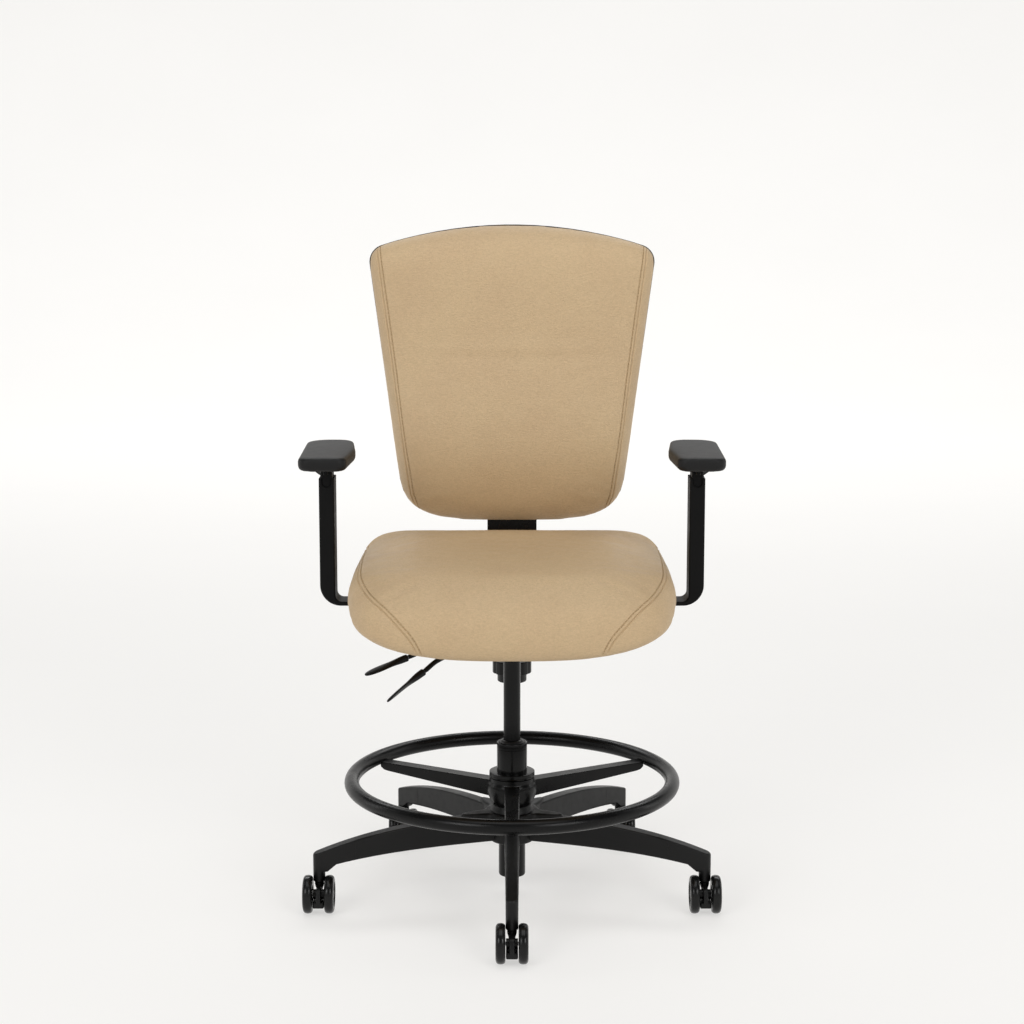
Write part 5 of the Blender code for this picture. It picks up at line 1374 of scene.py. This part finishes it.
def stitches(line, name, body, length=0.0042, pitch=0.0055, radius=0.00045):
    """A row of stitches along the line, in one piece."""
    row = bmesh.new()
    travelled = 0.0
    for (a, _), (b, normal) in zip(line, line[1:]):
        travelled += (b - a).length
        if travelled < pitch:
            continue
        travelled -= pitch
        turn = (b - a).to_track_quat("Z", "Y").to_matrix().to_4x4()
        size = Matrix.Diagonal((radius, radius, length / 2, 1))
        bmesh.ops.create_uvsphere(row, u_segments=6, v_segments=5, radius=1,
                                  matrix=moved_to(*(b + normal * radius * 0.35)) @ turn @ size)
    return piece(name, row, THREAD, body, (), 180)


# %% [markdown]
# ## Back cushion
# The cushion is thickest at the height of the sitter's loins and thins towards its edges. Its
# cheeks turn back to the shell within about 30 mm, and its lower part curves away under the
# lumbar swell, which is why it looks darker there.

# %% Back cushion foam
FOAM_REAR = -0.0246
FOAM_T = 0.060
LUMBAR_UP = 0.150
cushion_plan = [Vector((p.x, p.y - 0.0032 * max(0.0, 1 - p.y / 0.12)))
                for p in back_outline(0.0009)]
cushion_edge = edge_finder(cushion_plan)
back_foam = remeshed(placed(slab(cushion_plan, FOAM_T), STAND_ON_Y,
                            moved_to(0, FOAM_REAR - FOAM_T / 2, 0)), 0.006)
for vert in back_foam.verts:
    x, depth, up = vert.co
    share = min(1.0, max(0.0, (FOAM_REAR - depth) / FOAM_T))
    distance = cushion_edge.find((x, up, 0))[2]
    cheek = superellipse(1 - min(1.0, distance / 0.034), 2.2)
    below = superellipse(1 - min(1.0, max(0.0, up) / 0.162), 1.95)
    above = superellipse(1 - min(1.0, max(0.0, BACK_HEIGHT - up) / 0.080), 2.3)
    lumbar = 0.024 * exp(-((up - LUMBAR_UP) / 0.095) ** 2)
    crown = 0.004 * (1 - (x / 0.25) ** 2)
    thickness = 0.018 + (FOAM_T - 0.018 - 0.004 + lumbar + crown) * cheek * below * above
    vert.co = Vector((x, FOAM_REAR - share * thickness, up))
back_foam = smoothed(remeshed(back_foam, 0.0055), 9)
print("back foam:", len(back_foam.verts), "points")

# %% Back cushion cover
def back_seam_x(up):
    """Distance from the middle to the back's side seam at that height."""
    return LOW_HALF_W - 0.003 + FLARE * up - 0.0145


seam_ups = [0.050 + (BACK_HEIGHT - 0.052 - 0.050) * i / 9 for i in range(10)]
low_ups = ((0.038, 0.0018), (0.026, 0.0050), (0.016, 0.0095), (0.008, 0.0150))
back_seams = []
for side in (1, -1):
    points = [Vector((side * (back_seam_x(up) - drawn), -0.12, up))
              for up, drawn in reversed(low_ups)]
    points += [Vector((side * back_seam_x(up), -0.12, up)) for up in seam_ups]
    points.append(Vector((side * (back_seam_x(BACK_HEIGHT - 0.040) + 0.001), -0.07,
                          BACK_HEIGHT - 0.030)))
    back_seams.append(points)


def near_back_seam(spot):
    if spot.y > FOAM_REAR - 0.012:
        return True
    return abs(abs(spot.x) - back_seam_x(spot.z)) < 0.004


def ray_line(bm, points, direction, spacing=0.001):
    """The smooth line through the points, dropped on the surface along a direction."""
    surface = BVHTree.FromBMesh(bm)
    line = []
    for p in smooth_line(points, 60):
        spot, normal, _, _ = surface.ray_cast(p - Vector(direction) * 0.5, Vector(direction))
        if spot is None:
            continue
        if not line or (spot - line[-1][0]).length >= spacing:
            line.append((spot, normal))
    return line


back_cover = swollen(back_foam, near_back_seam, 0.007)
back_cover = subdivided(smoothed(back_cover, 4))
stitch_lines = []
for points in back_seams:
    seam = ray_line(back_cover, points, (0, 1, 0))
    stitch_lines.append(sewn(back_cover, seam, Vector((0, -0.1, BACK_HEIGHT / 2)), 0.0019))
back_pad = piece("back_upholstery", placed(back_cover, BACK_MATRIX), TAN_LEATHER, "back",
                 ["back_cushion"], 180)
turn_back = BACK_MATRIX.to_3x3()
for label, row in zip(("left", "right"), stitch_lines):
    stitches([(BACK_MATRIX @ spot, turn_back @ normal) for spot, normal in row],
             f"back_stitches_{label}", "back")

# %% [markdown]
# ## Seat cushion
# The seat is wider than deep, with round sides and a waterfall front that droops past the pan
# so that it does not press the thighs. Seen from the front its lower edge is a smile. One
# function gives its plan. Each point of a flat slab then moves to its own height between the
# top, the widest line and the underside.

# %% Seat foam
seat_low, seat_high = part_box("seat_cushion")
SEAT_FRONT = seat_low.y - COLUMN.y
SEAT_REAR = seat_high.y - COLUMN.y
SEAT_HALF_W = (seat_high.x - seat_low.x) / 2 - 0.001
SEAT_TOP = seat_high.z + 0.004
PAN_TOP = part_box("seat_pan")[1].z + 0.0004


def seat_half(y):
    """Half the seat's width at that depth."""
    rear = max(0.0, (y - SEAT_REAR + 0.055) / 0.055)
    front = max(0.0, (-0.110 - y) / (-SEAT_FRONT - 0.110))
    width = SEAT_HALF_W * (1 - 0.022 * max(0.0, y / SEAT_REAR))
    width *= 0.80 + 0.20 * superellipse(rear, 2.3)
    return width * (0.60 + 0.40 * superellipse(front, 3.0))


seat_plan = []
for i in range(121):
    wave = (1 - cos(pi * i / 120)) / 2
    y = SEAT_REAR + (SEAT_FRONT - SEAT_REAR) * wave
    seat_plan.append(Vector((-seat_half(y), y)))
seat_plan += [Vector((-p.x, p.y)) for p in reversed(seat_plan)]
seat_edge = edge_finder(seat_plan)


def eased(share):
    """0 to 1 along a smooth step."""
    share = min(1.0, max(0.0, share))
    return share * share * (3 - 2 * share)


def between(a, b, share):
    return a + (b - a) * share


def lip_height(x):
    """Lower edge of the drooping front, higher towards the sides."""
    return 0.4455 + 0.0454 * (abs(x) / 0.250) ** 3.07


SLAB_T = 0.06
SLAB_MIDDLE = 0.53
seat_foam = remeshed(placed(slab(seat_plan, SLAB_T), moved_to(0, 0, SLAB_MIDDLE)), 0.006)
for vert in seat_foam.verts:
    x, y, z = vert.co
    share = min(1.0, max(0.0, (z - SLAB_MIDDLE) / SLAB_T + 0.5))
    nearest, _, distance = seat_edge.find((x, y, 0))
    edge_y = nearest.y
    frontness = eased((-0.120 - edge_y) / 0.120)
    rearness = eased((edge_y - 0.150) / 0.05)
    distance += 0.0016
    widest = between(between(0.521, 0.497, frontness), 0.535, rearness)
    top_round = between(between(0.054, 0.150, frontness), 0.040, rearness)
    top = SEAT_TOP - 0.004 * (x / SEAT_HALF_W) ** 2 - 0.004 * eased((-0.02 - y) / 0.12)
    upper = widest + (top - widest) * superellipse(1 - min(1.0, distance / top_round), 2.4)
    in_front = eased((-0.196 - y) / 0.008)
    floor = between(PAN_TOP, lip_height(x), in_front)
    under_round = between(0.030, 0.038, frontness)
    lower = widest - (widest - floor) * superellipse(1 - min(1.0, distance / under_round), 2.4)
    vert.co = Vector((x, y, between(lower, upper, share)))
seat_foam = smoothed(remeshed(seat_foam, 0.0055), 5)
print("seat foam:", len(seat_foam.verts), "points")

# %% Seat cover
SEAT_SEAM = ((-238, 190, 541), (-249, 140, 548), (-252, 60, 555), (-249.5, -40, 560),
             (-246, -110, 559), (-240, -175, 557), (-226, -228, 552), (-206, -252, 538),
             (-188, -262, 521), (-172, -266, 504), (-159, -266, 489), (-150, -262, 474),
             (-144, -252, 462))
seat_seams = [[Vector((side * x, y, z)) * MM for x, y, z in SEAT_SEAM] for side in (-1, 1)]
held_seam = tree_of([p for points in seat_seams for p in smooth_line(points, 20)])


def seat_held(spot):
    if spot.z < PAN_TOP + 0.006 and spot.y > -0.21:
        return True
    return held_seam.find(spot)[2] < 0.006


seat_cover = swollen(seat_foam, seat_held, 0.005)
seat_cover = subdivided(smoothed(seat_cover, 6))
stitch_lines = []
for points in seat_seams:
    seam = on_surface(seat_cover, points)
    stitch_lines.append(sewn(seat_cover, seam, Vector((0, -0.05, 0.60)), 0.0020))
seat_pad = piece("seat_upholstery", on_column(seat_cover), TAN_LEATHER, "seat",
                 ["seat_cushion"], 180)
for label, row in zip(("left", "right"), stitch_lines):
    stitches([(spot + COLUMN, normal) for spot, normal in row], f"seat_stitches_{label}", "seat")

# %% [markdown]
# ## Seat pan
# The foam is glued to a moulded plywood pan, whose edge is sanded round. Only the veneer's
# grain is drawn, not the plies that show at a real pan's edge.

# %% Pan
PAN_CORNER_R = 0.060
pan_low, pan_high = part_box("seat_pan")
half_w = (pan_high.x - pan_low.x) / 2
front_y, rear_y = pan_low.y - COLUMN.y, pan_high.y - COLUMN.y
pan_outline = outline([(*corner, PAN_CORNER_R) for corner in (
    (-half_w, front_y), (half_w, front_y), (half_w, rear_y), (-half_w, rear_y))], 16)
pan = rounded(placed(slab(pan_outline, pan_high.z - pan_low.z),
                     moved_to(0, 0, (pan_low.z + pan_high.z) / 2)), 0.002, 3, 60)
piece("plywood_pan", on_column(pan), PLYWOOD, "seat", ["seat_pan"])

# %% [markdown]
# ## Tension spring
# A coil spring holds the seat up against its tilt. One circle of wire, spun about the
# spring's axis while it climbs, makes the coil. The seat pushes the coil together as it tilts.

# %% Coil
WIRE_R = 0.0024
COIL_R = 0.015
COIL_TURNS = 4
COIL_STEPS = 40
spring_low, spring_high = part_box("tension_spring")
spring_foot = Vector((middle("tension_spring").x, middle("tension_spring").y, spring_low.z))
spring_h = spring_high.z - spring_low.z
rise = (spring_h - 2.2 * WIRE_R) / (COIL_TURNS * COIL_STEPS)
coil = bmesh.new()
bmesh.ops.create_circle(coil, segments=14, radius=WIRE_R, cap_ends=True)
placed(coil, STAND_ON_Y, moved_to(COIL_R, 0, 1.1 * WIRE_R))
bmesh.ops.spin(coil, geom=coil.verts[:] + coil.edges[:] + coil.faces[:], cent=(0, 0, 0),
               axis=(0, 0, 1), dvec=(0, 0, rise), angle=2 * pi * COIL_TURNS,
               steps=COIL_TURNS * COIL_STEPS)
spring = piece("coil_spring", placed(coil, moved_to(*spring_foot)), GROUND_STEEL, "mechanism",
               ["tension_spring"])
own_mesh(spring)

# %% [markdown]
# ## Pieces that stay as they are
# Pins, axles, the bearing and its clip, the spring's cup and the pressed seat plate are right
# in shape already, so they keep their solids. They only get the finish of their slot.

# %% Finishes by slot
SLOT_LOOKS = {
    "nylon": BLACK_NYLON, "coat": POWDER_COAT, "wheel": WHEEL_NYLON, "pad_foam": PAD_SKIN,
    "leather": TAN_LEATHER, "plywood": PLYWOOD, "steel": GROUND_STEEL,
    "natural_nylon": NATURAL_NYLON,
}
slots = {row["node"]: row["material_slot"] for row in frame["record"]["subparts"]}
kept = [name for name, node in frame["nodes"].items() if not node.hide_render]
for name in kept:
    for slot_of_node in frame["nodes"][name].material_slots:
        slot_of_node.material = SLOT_LOOKS[slots[name]]
print("kept solids:", sorted(kept))

# %% Sizes and finish
low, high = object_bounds()
print("visual box:", [round(v, 4) for v in low], [round(v, 4) for v in high])
